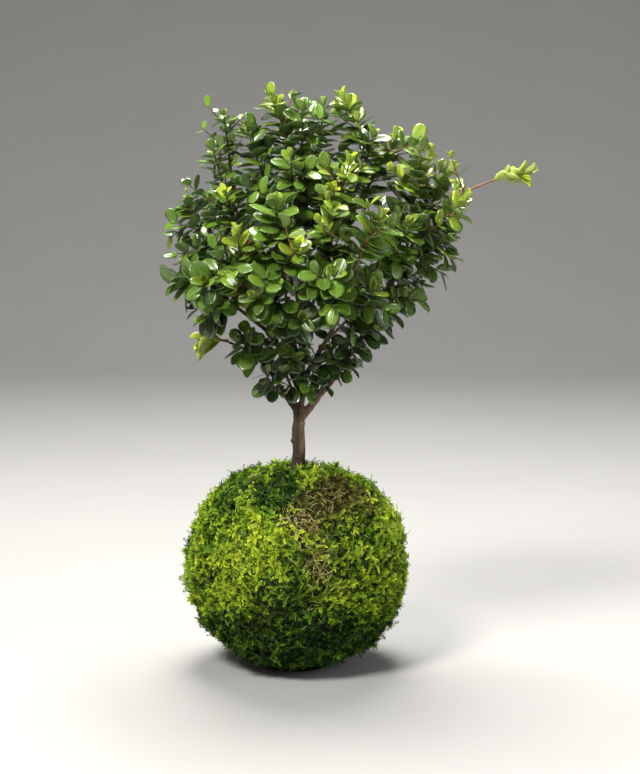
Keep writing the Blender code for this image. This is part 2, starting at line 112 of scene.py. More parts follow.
# Limbs: radius at the start, radius at the end, the points the limb runs through.
LIMBS = {
    "trunk": (4.4, 1.0, ((0, 0, 58), (0, 0, 88), (1, 0, 112), (2, 0, 126), (1.4, 0, 146), (3, 1, 166), (4, 2, 192),
                         (3, 4, 222), (2, 3, 252), (0, 2, 284))),
    "right_limb": (2.5, 0.9, ((1.6, 0, 142), (8, -1, 150), (14, -1, 158), (24, -3, 171), (39, -4, 193), (53, -5, 219),
                              (65, -4, 241), (76, -2, 258))),
    "right_back_limb": (1.6, 0.8, ((24, -3, 171), (31, 13, 188), (42, 28, 212), (50, 38, 238))),
    "right_front_limb": (1.6, 0.8, ((3, 1, 164), (12, -14, 181), (24, -30, 204), (33, -42, 232))),
    "left_limb": (1.9, 0.8, ((2.6, 1, 160), (-5, -1, 176), (-13, -2, 192), (-23, -4, 220), (-31, -4, 252),
                             (-36, -2, 284))),
    "low_left_limb": (1.5, 0.8, ((1.4, 0, 147), (-6, -3, 158), (-14, -6, 171), (-26, -8, 183), (-38, -10, 189))),
    "left_back_limb": (1.5, 0.8, ((3.6, 2, 180), (-8, 12, 191), (-24, 25, 206), (-37, 35, 226), (-44, 40, 246))),
    "left_front_limb": (1.3, 0.8, ((-13, -2, 192), (-22, -16, 201), (-35, -26, 212), (-48, -30, 222))),
    "front_limb": (1.5, 0.8, ((3.3, 1, 173), (0, -14, 187), (-4, -30, 205), (-5, -42, 228))),
    "back_limb": (1.5, 0.8, ((4, 2, 186), (8, 16, 201), (13, 33, 221), (15, 44, 246))),
    "upper_right_limb": (1.4, 0.8, ((3.2, 3.6, 214), (16, 2, 238), (29, 1, 262), (39, 1, 286))),
}
ROOTS = (
    (4.4, 1.5, ((0, 0, 62), (1, -1, 48), (-1, 1, 32), (0, 0, 20))),
    (2.2, 0.9, ((0, 0, 78), (-16, -6, 66), (-30, -10, 50), (-38, -12, 36))),
    (2.2, 0.9, ((0, 0, 74), (15, -9, 62), (27, -17, 46), (34, -22, 34))),
    (2.0, 0.9, ((0, 0, 82), (10, 15, 70), (18, 29, 56), (20, 38, 42))),
    (1.8, 0.8, ((0, 0, 70), (-9, 12, 56), (-17, 24, 40), (-20, 30, 28))),
)

# Shoots: name, limb, share of the limb's length, tip in millimetres, pairs of leaves, leaf length, young or
# not, and the share of the stem that is bare.
SHOOTS = (
    ("top_far_left", "left_limb", 1.0, (-40, -3, 317), 5, 8, 0, 0.25),
    ("left_upright", "left_limb", 0.70, (-46, -16, 299), 7, 11, 0, 0.11),
    ("left_high", "left_front_limb", 0.75, (-60, -14, 268), 7, 11, 0, 0.20),
    ("left_end", "left_front_limb", 1.0, (-63, -24, 223), 6, 17, 0, 0.11),
    ("left_mid", "left_limb", 0.58, (-60, 2, 244), 7, 14, 0, 0.11),
    ("left_low_dark", "left_front_limb", 0.62, (-50, -34, 205), 6, 14, 0, 0.20),
    ("left_front_pale", "left_front_limb", 0.86, (-48, -50, 226), 6, 15, 0, 0.11),
    ("low_left_tuft", "low_left_limb", 1.0, (-49, -13, 189), 3, 8, 1, 0.40),
    ("low_left_side", "low_left_limb", 0.62, (-30, -20, 190), 5, 13, 0, 0.12),
    ("top_a", "trunk", 1.0, (-12, -2, 323), 8, 13, 1, 0.11),
    ("top_b", "trunk", 0.93, (4, -14, 320), 8, 13, 0, 0.11),
    ("top_c", "trunk", 0.90, (16, 14, 322), 8, 13, 0, 0.11),
    ("top_left", "trunk", 0.86, (-27, 2, 309), 8, 13, 0, 0.11),
    ("top_right", "upper_right_limb", 1.0, (28, -4, 324), 8, 13, 1, 0.11),
    ("slope_a", "upper_right_limb", 0.82, (44, -12, 304), 8, 13, 0, 0.11),
    ("slope_b", "upper_right_limb", 0.64, (56, 6, 302), 8, 14, 1, 0.11),
    ("slope_c", "right_limb", 0.86, (75, -8, 293), 8, 13, 1, 0.11),
    ("slope_d", "right_limb", 0.95, (88, 8, 283), 7, 13, 1, 0.11),
    ("long_right", "right_limb", 1.0, (130, -4, 284), 7, 9, 1, 0.50),
    ("right_end", "right_limb", 0.90, (94, -14, 268), 7, 13, 1, 0.11),
    ("right_low_a", "right_limb", 0.80, (86, -10, 248), 7, 13, 0, 0.11),
    ("right_low_b", "right_limb", 0.70, (74, 12, 230), 6, 13, 0, 0.11),
    ("right_low_c", "right_limb", 0.60, (60, -16, 216), 6, 13, 0, 0.11),
    ("right_fan", "right_limb", 0.45, (45, -10, 200), 5, 13, 0, 0.20),
    ("right_low_d", "right_limb", 0.22, (27, -6, 176), 4, 10, 0, 0.25),
    ("front_tuft_left", "left_front_limb", 0.50, (-31, -42, 250), 7, 13, 1, 0.11),
    ("front_shiny", "front_limb", 0.86, (-10, -48, 268), 7, 15, 0, 0.11),
    ("front_tuft", "front_limb", 1.0, (1, -58, 244), 6, 13, 1, 0.11),
    ("front_bud", "right_front_limb", 0.78, (18, -48, 271), 7, 13, 1, 0.11),
    ("front_low_left", "front_limb", 0.76, (-20, -54, 218), 6, 15, 0, 0.15),
    ("front_low", "front_limb", 0.60, (4, -50, 206), 6, 14, 0, 0.20),
    ("front_mid_right", "right_front_limb", 0.68, (22, -58, 230), 6, 14, 0, 0.11),
    ("front_right", "right_front_limb", 1.0, (46, -50, 259), 7, 13, 1, 0.11),
    ("front_right_low", "right_front_limb", 0.54, (44, -34, 220), 6, 14, 0, 0.15),
    ("front_high", "trunk", 0.78, (-2, -32, 293), 8, 13, 0, 0.11),
    ("front_high_right", "upper_right_limb", 0.44, (30, -32, 289), 8, 13, 1, 0.11),
    ("inner_low", "trunk", 0.50, (-12, -18, 192), 5, 13, 0, 0.08),
    ("inner_low_right", "right_limb", 0.34, (20, -18, 186), 5, 12, 0, 0.10),
    ("inner_low_left", "low_left_limb", 0.28, (-17, -9, 171), 4, 12, 0, 0.10),
    ("inner_low_front", "trunk", 0.44, (8, -17, 178), 4, 12, 0, 0.10),
    ("right_mid", "right_limb", 0.72, (62, -28, 256), 7, 13, 0, 0.11),
    ("back_left", "left_back_limb", 1.0, (-50, 46, 266), 7, 13, 0, 0.11),
    ("back_left_low", "left_back_limb", 0.72, (-48, 34, 228), 6, 14, 0, 0.11),
    ("back_left_mid", "left_back_limb", 0.82, (-28, 52, 250), 7, 14, 0, 0.11),
    ("back_mid", "back_limb", 1.0, (12, 58, 270), 7, 13, 1, 0.11),
    ("back_low", "back_limb", 0.66, (-6, 52, 226), 6, 14, 0, 0.11),
    ("back_right_low", "right_back_limb", 0.62, (36, 50, 220), 6, 14, 0, 0.11),
    ("back_right", "right_back_limb", 1.0, (60, 44, 262), 7, 13, 0, 0.11),
    ("back_high_left", "trunk", 0.74, (-20, 32, 293), 8, 13, 0, 0.11),
    ("back_high_right", "upper_right_limb", 0.40, (34, 34, 291), 8, 13, 0, 0.11),
)
# The shoots of new growth that are bright from end to end: how much longer their leaves are than planned, and the
# share of the stem that is bare.
BRIGHT_SHOOTS = {"long_right": (1.75, 0.66), "low_left_tuft": (2.4, 0.0)}
SEED = 7
CROWN_MIDDLE = Vector((5, 14, 226)) * MM
STEM_RADIUS = (0.85 * MM, 0.45 * MM)
LEAF_HALF_THICKNESS = 0.33 * MM
LEAF_WIDTH = 0.70
LEAF_GROWTH = 1.02
LEAF_OUTLINE = ((0.0, 0.0), (0.28, 0.90), (0.78, 0.86), (1.0, 0.0), (0.78, -0.86), (0.28, -0.90))
LEAF_TRIES = 9
STEM_TRIES = 40
TWIG_TRIES = 7
# The turn from one twig or leaflet to the next, in radians.
NEXT_TURN = 2.4
# Twigs count as owners of their leaves from this number on, past the shoots' own.
FIRST_TWIG = 1000
# The twigs' tips stay above this height, which rises with the distance from the trunk, and right of the crown's edge.
CROWN_FLOOR, CROWN_FLARE, CROWN_LEFT = 158 * MM, 0.80, -64 * MM
# Outline twigs: how long at most and at least, and at least for new growth, and how steeply they should rise.
TWIG_REACH, TWIG_LEAST, NEW_TWIG_LEAST, TWIG_RISE = 30 * MM, 8 * MM, 5 * MM, 0.45
STARTS_TRIED = 24
# How far leaves spread from the stem, in degrees: those of the end pair and the others.
END_SPREAD, SIDE_SPREAD = (36, 56), (52, 78)
# Leaves whose middles are further apart than this can't touch.
LEAF_REACH = 26 * MM
# The share of a stem's length at which its end pair of leaves stands.
END_PAIR = 0.97
# How far leaf tips may stand out of the solid model's box, and how far twig tips stay inside it.
LEAF_ROOM = 6 * MM
TWIG_ROOM = 4 * MM


# ---------------------------------------------------------------- shared shapes

def ball_point(polar, turn, inset=0.0):
    """A point of the ball's surface, or of the same surface set inwards, by its angle from +Z and about +Z."""
    side = math.sin(polar)
    rise = math.cos(polar)
    reach = BALL_RISE if rise > 0 else BALL_DROP
    power = BALL_SQUARENESS if rise > 0 else 2.0
    radius = ((side / BALL_RADIUS) ** power + (abs(rise) / reach) ** power) ** (-1 / power)
    lumps = 0.012 * math.sin(3 * turn + 0.6) * side
    lumps += 0.010 * math.sin(5 * turn + 2.0 * polar) * side ** 2
    lumps += 0.008 * math.sin(4 * polar + 2 * turn) * side
    radius = radius * (1 + lumps) - inset
    if rise < 0:
        radius = min(radius, (BALL_CENTRE.z - inset) / -rise)
    return BALL_CENTRE + radius * Vector((side * math.cos(turn), side * math.sin(turn), rise))


def across_of(forward):
    """A direction square to this one, level unless it runs nearly upright."""
    return forward.cross(UP if abs(forward.z) < 0.9 else Vector((1, 0, 0))).normalized()


def way_around(forward, across, azimuth):
    """The direction that stands square to forward, this far round from across."""
    return across * math.cos(azimuth) + forward.cross(across) * math.sin(azimuth)


def bridge(target, first, second):
    """Faces between two rings of vertices."""
    count = len(first)
    for k in range(count):
        target.faces.new((first[k], first[(k + 1) % count], second[(k + 1) % count], second[k]))


def tube_mesh(points, radii, sides):
    """A round tube through the points. Its frame is carried along so that it doesn't twist."""
    tube = bmesh.new()
    rings = []
    side = None
    for i, point in enumerate(points):
        forward = (points[min(i + 1, len(points) - 1)] - points[max(i - 1, 0)]).normalized()
        if side is None:
            side = across_of(forward)
        side = (side - forward * side.dot(forward)).normalized()
        other = forward.cross(side)
        ring = []
        for k in range(sides):
            angle = 2 * math.pi * k / sides
            ring.append(tube.verts.new(point + radii[i] * (side * math.cos(angle) + other * math.sin(angle))))
        rings.append(ring)
    for first, second in zip(rings, rings[1:]):
        bridge(tube, first, second)
    tube.faces.new(rings[0])
    tube.faces.new(rings[-1])
    return tube


def on_curve(points, share):
    """A point of the smooth curve through the points, at a share from 0 to 1 of the way along it."""
    spans = len(points) - 1
    place = min(max(share, 0.0), 1.0) * spans
    i = min(int(place), spans - 1)
    t = place - i
    a = points[max(i - 1, 0)]
    b = points[i]
    c = points[i + 1]
    d = points[min(i + 2, spans)]
    return 0.5 * (2 * b + (c - a) * t + (2 * a - 5 * b + 4 * c - d) * t * t + (3 * b - a - 3 * c + d) * t ** 3)


def limb_points(limb):
    return [Vector(point) * MM for point in LIMBS[limb][2]]


def limb_radius(limb, share):
    """The trunk stays thick up to its fork and then thins; the limbs thin evenly."""
    start, end = LIMBS[limb][:2]
    if limb == "trunk":
        if share < 0.42:
            return (start - 0.8 * share / 0.42) * MM
        return (2.9 + (end - 2.9) * (share - 0.42) / 0.58) * MM
    return (start + (end - start) * share) * MM


def limb_tube(limb, steps, sides, extra=0.0):
    points = limb_points(limb)
    shares = [k / steps for k in range(steps + 1)]
    return tube_mesh([on_curve(points, s) for s in shares], [limb_radius(limb, s) + extra for s in shares], sides)


# ---------------------------------------------------------------- where shoots and leaves stand

def bend(base, tip, along, lift):
    """Points of a shoot's stem: it leaves the limb along it and bends to its tip."""
    reach = (tip - base).length
    middle = base + (along * 0.5 + (tip - base).normalized() * 0.6 + UP * lift).normalized() * reach * 0.5
    steps = max(3, round(reach / (11 * MM)))
    line = []
    for k in range(steps + 1):
        t = k / steps
        line.append(base * (1 - t) ** 2 + middle * 2 * t * (1 - t) + tip * t * t)
    return line


def stem_radii(line):
    first, last = STEM_RADIUS
    return [first + (last - first) * k / (len(line) - 1) for k in range(len(line))]


def on_line(line, share):
    """A point of the stem as it is built, in straight spans."""
    place = share * (len(line) - 1)
    i = min(int(place), len(line) - 2)
    return line[i].lerp(line[i + 1], place - i)


def solid_tree(made):
    tree = BVHTree.FromBMesh(made)
    made.free()
    return tree


def leaf_points(leaf, extra=0.0):
    """The leaf's outline, then its middle above and below. Extra makes it bigger all round."""
    base, forward, normal, length = leaf
    side = normal.cross(forward)
    half = 0.5 * LEAF_WIDTH * length + extra
    points = []
    for u, v in LEAF_OUTLINE:
        fold = abs(v) * 0.07 * length - 0.06 * length * u * u
        points.append(base + forward * (u * (length + 2 * extra) - extra) + side * v * half + normal * fold)
    centre = base + forward * 0.5 * length
    thick = LEAF_HALF_THICKNESS + extra
    points.append(centre + normal * (thick + 0.02 * length))
    points.append(centre - normal * (thick - 0.02 * length))
    return points


def leaf_faces():
    count = len(LEAF_OUTLINE)
    faces = []
    for k in range(count):
        faces.append((k, (k + 1) % count, count))
        faces.append(((k + 1) % count, k, count + 1))
    return faces


def leaf_directions(place, forward, azimuth, spread, across, rng):
    """Which way a leaf points, and which way its upper side faces: up, out of the crown and along the stem."""
    outward = way_around(forward, across, azimuth)
    droop = 0.06 + 0.5 * min(max((245 * MM - place.z) / (60 * MM), 0.0), 1.0)
    points_to = (forward * math.cos(spread) + outward * math.sin(spread) - UP * droop).normalized()
    from_middle = (place - CROWN_MIDDLE).normalized()
    face = UP * 0.70 + from_middle * 0.75 + forward * 0.20
    face += Vector([rng.uniform(-0.42, 0.42) for _ in range(3)])
    face = face - points_to * face.dot(points_to)
    if face.length < 0.1:
        face = forward - points_to * forward.dot(points_to)
    return points_to, face.normalized()


def stem_frame(stem):
    """The way a stem runs from its foot to its tip, and a direction square to it."""
    forward = (stem["line"][-1] - stem["line"][0]).normalized()
    return forward, across_of(forward)


def plan_stems(rng, wood):
    """The shoots' stems. One that would touch the wood or another stem is moved a little at its tip."""
    stems = []
    for name, limb, share, tip, pairs, leaf_mm, young, bare in SHOOTS:
        points = limb_points(limb)
        tip = Vector(tip) * MM
        root = on_curve(points, share)
        along = (on_curve(points, share) - on_curve(points, share - 0.04)).normalized()
        for _ in range(STEM_TRIES):
            way = tip - root
            way = along if share == 1.0 else (way - along * way.dot(along)).normalized()
            base = root + way * (limb_radius(limb, share) + GAP + STEM_RADIUS[0])
            line = bend(base, tip, along if share == 1.0 else (along + way * 0.8).normalized(), 0.10)
            radii = stem_radii(line)
            wide = [radii[0]] + [radius + GAP for radius in radii[1:]]
            tree = solid_tree(tube_mesh(line, wide, 5))
            if not any(tree.overlap(other) for other in wood + [stem["tree"] for stem in stems]):
                break
            tip = tip + Vector([rng.uniform(-1.5, 1.5) for _ in range(3)]) * MM
        stems.append({"name": name, "line": line, "tree": tree, "pairs": pairs, "young": young, "bare": bare,
                      "length": leaf_mm * LEAF_GROWTH * MM, "leaves": [], "twigs": []})
    return stems


def fitted_leaf(rng, stem, index, share, azimuth, small, across, solids, placed):
    """A leaf that touches nothing but its own stem, or None."""
    line = stem["line"]
    place = on_line(line, share)
    ahead = (on_line(line, min(share + 0.05, 1.0)) - on_line(line, share - 0.05)).normalized()
    for attempt in range(LEAF_TRIES):
        spread = math.radians(rng.uniform(*(END_SPREAD if share > 0.95 else SIDE_SPREAD)))
        twist = azimuth + rng.uniform(-0.3, 0.3) * (1 + attempt / 4)
        points_to, face = leaf_directions(place, ahead, twist, spread, across, rng)
        length = stem["length"] * small * rng.uniform(0.88, 1.12) * (1 - 0.04 * attempt)
        leaf = (place + points_to * 0.15 * MM, points_to, face, length)
        wide = BVHTree.FromPolygons(leaf_points(leaf, GAP), leaf_faces())
        if any(wide.overlap(solid) for solid in solids):
            continue
        exact = BVHTree.FromPolygons(leaf_points(leaf), leaf_faces())
        centre = place + points_to * 0.5 * length
        if not any(exact.overlap(other_exact) if owner == index else wide.overlap(other_wide)
                   for other_centre, other_wide, other_exact, owner in placed
                   if (other_centre - centre).length < LEAF_REACH):
            placed.append((centre, wide, exact, index))
            return leaf
    return None


def solids_beside(stems, wood, index):
    """Everything that this shoot's leaves and twigs must not touch: the wood and the other stems."""
    return wood + [other["tree"] for k, other in enumerate(stems) if k != index]


def add_pair(rng, stem, index, share, turn, small, across, solids, placed, room=None):
    """Two leaves opposite each other. One that would touch something or stand too far out is left out."""
    for half in (0, 1):
        leaf = fitted_leaf(rng, stem, index, share, turn + math.pi * half, small, across, solids, placed)
        if leaf and (room is None or inside_bounds(leaf_tip(leaf), room)):
            stem["leaves"].append(leaf)


def plan_crown():
    """Every shoot's stem line and leaves, placed one after another so that nothing touches another shoot."""
    rng = random.Random(SEED)
    wood = [solid_tree(limb_tube(limb, 4 * len(LIMBS[limb][2]), 6, GAP)) for limb in LIMBS]
    stems = plan_stems(rng, wood)
    placed = []
    for index, stem in enumerate(stems):
        solids = solids_beside(stems, wood, index)
        across = stem_frame(stem)[1]
        turn = rng.uniform(0, math.pi)
        for pair in range(stem["pairs"]):
            share = END_PAIR - (END_PAIR - stem["bare"]) * pair / stem["pairs"]
            add_pair(rng, stem, index, share, turn, 0.72 if pair == 0 else 1.0, across, solids, placed)
            turn += math.pi / 2
    return stems, wood, placed


def inside_bounds(point, room):
    low, high = Vector(CAD_BOX[0]), Vector(CAD_BOX[1])
    return all(low[k] - room < point[k] < high[k] + room for k in range(3))


def leaf_tip(leaf):
    return leaf[0] + leaf[1] * leaf[3]


def plan_between_pairs(stems, wood, placed, rng):
    """More pairs of leaves halfway between the main ones, so that the stems are leafy all along."""
    for index, stem in enumerate(stems):
        solids = solids_beside(stems, wood, index)
        across = stem_frame(stem)[1]
        for pair in range(stem["pairs"]):
            share = END_PAIR - 0.86 * (pair + 0.5) / stem["pairs"]
            add_pair(rng, stem, index, share, rng.uniform(0, 2 * math.pi), 0.92, across, solids, placed, LEAF_ROOM)


# Tips, in millimetres, of the longer twigs that round off the crown, and of those with new leaves.
OUTLINE_TIPS = (
    (67, -8, 300), (61, 4, 297), (66, -14, 286), (58, -6, 281), (72, 6, 280), (64, -22, 274),
    (-59, -12, 276), (-61, 2, 272), (-66, -18, 255), (-69, -8, 247), (-65, -24, 238), (-68, -24, 221), (-67, -14, 213),
    (86, -8, 236), (82, 2, 226), (-26, -24, 275), (-30, -12, 268), (31, -6, 172), (26, 3, 164),
    (-14, 8, 318), (20, -10, 316), (-34, -10, 300), (-50, 4, 288), (36, -18, 306),
)
NEW_TIPS = (
    (-37, -40, 272), (20, -48, 274), (54, -30, 283), (88, -14, 262), (86, -6, 292), (14, -58, 256), (34, -12, 312),
    (110, -4, 280),
)


def grow_twig(stem, base, tip, number, solids, placed, rng, new=False):
    """A side twig with its pairs of leaves. Says whether it grew: it doesn't where it would meet a stem or a leaf."""
    forward, across = stem_frame(stem)
    way = (tip - base).normalized()
    line = [base, base.lerp(tip, 0.5) + forward * 0.8 * MM, tip + forward * 2.0 * MM]
    start = [base + way * 1.6 * MM] + line[1:]
    tree = solid_tree(tube_mesh(start, [0.7 * MM] * 3, 5))
    near = [exact for centre, wide, exact, owner in placed if (centre - base).length < 40 * MM]
    if any(tree.overlap(other) for other in solids + near):
        return False
    twig = {"line": line, "length": stem["length"] * 0.92, "leaves": [], "new": new}
    own = solids + [stem["tree"]]
    turn = rng.uniform(0, math.pi)
    pairs = max(3, int((tip - base).length / (4.5 * MM)))
    for pair in range(pairs):
        share = END_PAIR - 0.72 * pair / (pairs - 1)
        small = 0.80 + min(0.1 * pair, 0.2)
        add_pair(rng, twig, FIRST_TWIG + number, share, turn, small, across, own, placed, LEAF_ROOM)
        turn += math.pi / 2
    solids.append(tree)
    stem["twigs"].append(twig)
    return True


def plan_outline_twigs(stems, wood, placed, rng):
    """The longer twigs: each leaves the nearest stem that lies a little lower."""
    for number, tip in enumerate(NEW_TIPS + OUTLINE_TIPS):
        tip, new = Vector(tip) * MM, number < len(NEW_TIPS)
        starts = []
        for index, stem in enumerate(stems):
            for share in (0.2, 0.3, 0.4, 0.5, 0.6, 0.7, 0.8):
                base = on_line(stem["line"], share)
                reach = (tip - base).length
                too_flat = max(0.0, TWIG_RISE * reach - (tip.z - base.z))
                least = NEW_TWIG_LEAST if new else TWIG_LEAST
                if least < reach < TWIG_REACH and (new or stem["name"] not in BRIGHT_SHOOTS):
                    starts.append((reach + 2 * too_flat, index, share))
        for _, index, share in sorted(starts)[:STARTS_TRIED]:
            base = on_line(stems[index]["line"], share)
            if grow_twig(stems[index], base, tip, number, solids_beside(stems, wood, index), placed, rng, new):
                break


def plan_side_twigs(stems, wood, placed, rng, most, reach_from, reach_to):
    """Short twigs that leave the shoots sideways, each with a few pairs of leaves, wherever there is room."""
    count = len(NEW_TIPS + OUTLINE_TIPS)
    for index, stem in enumerate(stems):
        if stem["name"] in BRIGHT_SHOOTS:
            continue
        solids = solids_beside(stems, wood, index)
        forward, across = stem_frame(stem)
        length = (stem["line"][-1] - stem["line"][0]).length
        wanted = min(most, 1 + int(length / (7 * MM)))
        for k in range(wanted):
            share = 0.16 + 0.66 * k / max(wanted - 1, 1)
            for _ in range(TWIG_TRIES):
                outward = way_around(forward, across, NEXT_TURN * k + rng.uniform(0, 2 * math.pi))
                way = (outward + forward * rng.uniform(0.3, 0.9) + UP * 0.15).normalized()
                base = on_line(stem["line"], share)
                tip = base + way * rng.uniform(reach_from, reach_to)
                low = CROWN_FLOOR + CROWN_FLARE * math.hypot(tip.x - 3 * MM, tip.y)
                if not inside_bounds(tip, -TWIG_ROOM) or tip.z < low or tip.x < CROWN_LEFT:
                    continue
                if grow_twig(stem, base, tip, count, solids, placed, rng):
                    count += 1
                    break


# ---------------------------------------------------------------- finishes

def feed(tree, socket, value):
    """Links a socket to another one, or sets it to a number, a colour or a vector."""
    if isinstance(value, bpy.types.NodeSocket):
        tree.links.new(value, socket)
    elif socket.type == "RGBA":
        socket.default_value = (*value[:3], 1)
    else:
        socket.default_value = value


def add_node(tree, kind, inputs=None, **properties):
    """A node with its properties set, and then its inputs, by name or place."""
    node = tree.nodes.new(kind)
    for key, value in properties.items():
        setattr(node, key, value)
    for key, value in (inputs or {}).items():
        feed(tree, node.inputs[key], value)
    return node


def new_material(name):
    """A material with its node tree, and the Principled shader at its end."""
    material = bpy.data.materials.new(name)
    material.use_nodes = True
    return material, material.node_tree, material.node_tree.nodes["Principled BSDF"]


def blend_colours(tree, share, first, second, mode="MIX"):
    """A colour that goes from first to second by share."""
    return add_node(tree, "ShaderNodeMix", {0: share, 6: first, 7: second}, data_type="RGBA", blend_type=mode,
                    clamp_result=mode != "MIX").outputs[2]


def ramp_value(tree, value, low, high, to_low=0.0, to_high=1.0):
    """The value rescaled from one range to another, held at the ends."""
    return add_node(tree, "ShaderNodeMapRange", {"From Min": low, "From Max": high, "To Min": to_low,
                                                 "To Max": to_high, "Value": value}).outputs["Result"]


def arithmetic(tree, operation, first, second=0.0):
    """The result of one sum on numbers or sockets."""
    return add_node(tree, "ShaderNodeMath", {0: first, 1: second}, operation=operation).outputs[0]


def split_place(tree):
    """The piece's own place, as three numbers."""
    place = add_node(tree, "ShaderNodeTexCoord").outputs["Object"]
    return add_node(tree, "ShaderNodeSeparateXYZ", {"Vector": place}).outputs


def noise_value(tree, scale, detail=3.0, stretch=(1, 1, 1), rough=0.55):
    """Noise on the piece's own place, stretched where a grain runs one way."""
    place = add_node(tree, "ShaderNodeTexCoord").outputs["Object"]
    mapping = add_node(tree, "ShaderNodeMapping", {"Scale": stretch, "Vector": place})
    return add_node(tree, "ShaderNodeTexNoise", {"Scale": scale, "Detail": detail, "Roughness": rough,
                                                 "Vector": mapping.outputs["Vector"]}).outputs["Fac"]


def attribute_value(tree, name):
    """The value that the mesh stores under this name."""
    return add_node(tree, "ShaderNodeAttribute", attribute_name=name).outputs["Fac"]


def cover(tree, shader, colour, roughness, relief, strength, depth):
    """The shader's colour, roughness and bump."""
    bump = add_node(tree, "ShaderNodeBump", {"Strength": strength, "Distance": depth, "Height": relief})
    for name, value in (("Base Color", colour), ("Roughness", roughness), ("Normal", bump.outputs["Normal"])):
        feed(tree, shader.inputs[name], value)


def leaf_finish(crown):
    """Waxy leaf: dark to mid green by leaf, with painted light in the tone (leaves high up and at the crown's outside
    painted lighter, low and inner ones painted darker), yellow-green when young, a paler dull underside, and a fine
    pale midrib.
    """
    material, tree, shader = new_material("waxy_leaf")
    tone = attribute_value(tree, "tone")
    age = attribute_value(tree, "age")
    under = attribute_value(tree, "under")
    mottle = noise_value(tree, 420, 4)
    patches = noise_value(tree, 95, 2)
    # The tone carries painted light: its dark end stands for old leaves and also for painted shade low and inside the
    # crown.
    green = blend_colours(tree, ramp_value(tree, tone, 0.05, 0.95), crown.old_and_shaded_leaf, crown.grown_leaf)
    green = blend_colours(tree, ramp_value(tree, patches, 0.45, 0.75, 0.0, 0.35), green, crown.grown_leaf)
    fresh = blend_colours(tree, ramp_value(tree, tone, 0.0, 1.0), crown.young_leaf, crown.budding_leaf)
    colour = blend_colours(tree, ramp_value(tree, age, 0.08, 0.85), green, fresh)
    colour = blend_colours(tree, ramp_value(tree, mottle, 0.35, 0.75, 0.0, 0.28), colour, (0.012, 0.035, 0.006))
    uv = add_node(tree, "ShaderNodeUVMap", uv_map="UVMap").outputs["UV"]
    split = add_node(tree, "ShaderNodeSeparateXYZ", {"Vector": uv}).outputs
    off_middle = arithmetic(tree, "ABSOLUTE", arithmetic(tree, "SUBTRACT", split["Y"], 0.5))
    midrib = ramp_value(tree, off_middle, 0.012, 0.045, 1.0, 0.0)
    slant = arithmetic(tree, "SUBTRACT", split["X"], arithmetic(tree, "MULTIPLY", off_middle, 0.55))
    wave = arithmetic(tree, "SINE", arithmetic(tree, "MULTIPLY", slant, 62.0))
    veins = arithmetic(tree, "MULTIPLY", ramp_value(tree, wave, 0.72, 1.0), ramp_value(tree, off_middle, 0.46, 0.30))
    ribs = arithmetic(tree, "MAXIMUM", midrib, arithmetic(tree, "MULTIPLY", veins, 0.30))
    colour = blend_colours(tree, arithmetic(tree, "MULTIPLY", ribs, 0.20), colour, (0.30, 0.40, 0.12))
    below = blend_colours(tree, 0.55, colour, (0.16, 0.23, 0.10))
    colour = blend_colours(tree, under, colour, below)
    gloss = ramp_value(tree, mottle, 0.3, 0.7, 0.20, 0.34)
    dull = arithmetic(tree, "MULTIPLY", under, 0.30)
    shader.inputs["Specular IOR Level"].default_value = 0.55
    shader.inputs["Coat Weight"].default_value = 0.7
    shader.inputs["Coat Roughness"].default_value = 0.15
    relief = arithmetic(tree, "SUBTRACT", arithmetic(tree, "MULTIPLY", mottle, 0.35), ribs)
    cover(tree, shader, colour, arithmetic(tree, "ADD", gloss, dull), relief, 0.35, 0.25 * MM)
    add_glow(tree, shader, blend_colours(tree, 0.5, colour, (0.30, 0.50, 0.03)), 0.18)
    return material


def twig_finish(name, first, second):
    """Young stem: its own two colours in patches, with fine lengthwise lines."""
    material, tree, shader = new_material(name)
    patches = noise_value(tree, 60, 3)
    fine = noise_value(tree, 700, 3, (1, 1, 0.25))
    colour = blend_colours(tree, ramp_value(tree, patches, 0.40, 0.62), first, second)
    colour = blend_colours(tree, ramp_value(tree, fine, 0.45, 0.7, 0.0, 0.5), colour, [c * 0.35 for c in first])
    cover(tree, shader, colour, ramp_value(tree, fine, 0.3, 0.7, 0.45, 0.7), fine, 0.5, 0.15 * MM)
    return material

def bark_finish():
    """Old bark: dark brown ridges, tan where bark flakes have come off in patches, a painted highlight of tan on the
    trunk's right side where the light falls, and dark cracks.
    """
    material, tree, shader = new_material("bark")
    place = split_place(tree)
    # Painted light: a tan strip on the trunk's right side, from about 122 to 168 mm high, stands for the side that the
    # light falls on.
    right = ramp_value(tree, place["X"], 2.0 * MM, 3.8 * MM)
    bottom = ramp_value(tree, place["Z"], 122 * MM, 128 * MM)
    top = ramp_value(tree, place["Z"], 168 * MM, 152 * MM)
    bare = arithmetic(tree, "MULTIPLY", right, arithmetic(tree, "MULTIPLY", bottom, top))
    strips = noise_value(tree, 210, 4, (1, 1, 0.16), 0.6)
    flakes = noise_value(tree, 75, 3, (1, 1, 0.35))
    cracks = noise_value(tree, 520, 5, (1, 1, 0.12), 0.7)
    colour = blend_colours(tree, ramp_value(tree, strips, 0.38, 0.62), (0.020, 0.012, 0.005), (0.050, 0.031, 0.012))
    # Flake patches are the bark's own colour; the right-side strip mixed in here is painted light.
    flakes_and_painted_lit_side = arithmetic(tree, "MAXIMUM", ramp_value(tree, flakes, 0.62, 0.74, 0.0, 0.5),
                        arithmetic(tree, "MULTIPLY", bare, ramp_value(tree, strips, 0.30, 0.50, 0.45, 0.95)))
    colour = blend_colours(tree, flakes_and_painted_lit_side, colour, (0.22, 0.145, 0.080))
    colour = blend_colours(tree, ramp_value(tree, cracks, 0.50, 0.70, 0.0, 0.85), colour, (0.022, 0.013, 0.008))
    relief = arithmetic(tree, "SUBTRACT", strips, arithmetic(tree, "MULTIPLY", cracks, 0.8))
    cover(tree, shader, colour, ramp_value(tree, strips, 0.3, 0.7, 0.92, 0.70), relief, 0.8, 0.5 * MM)
    return material


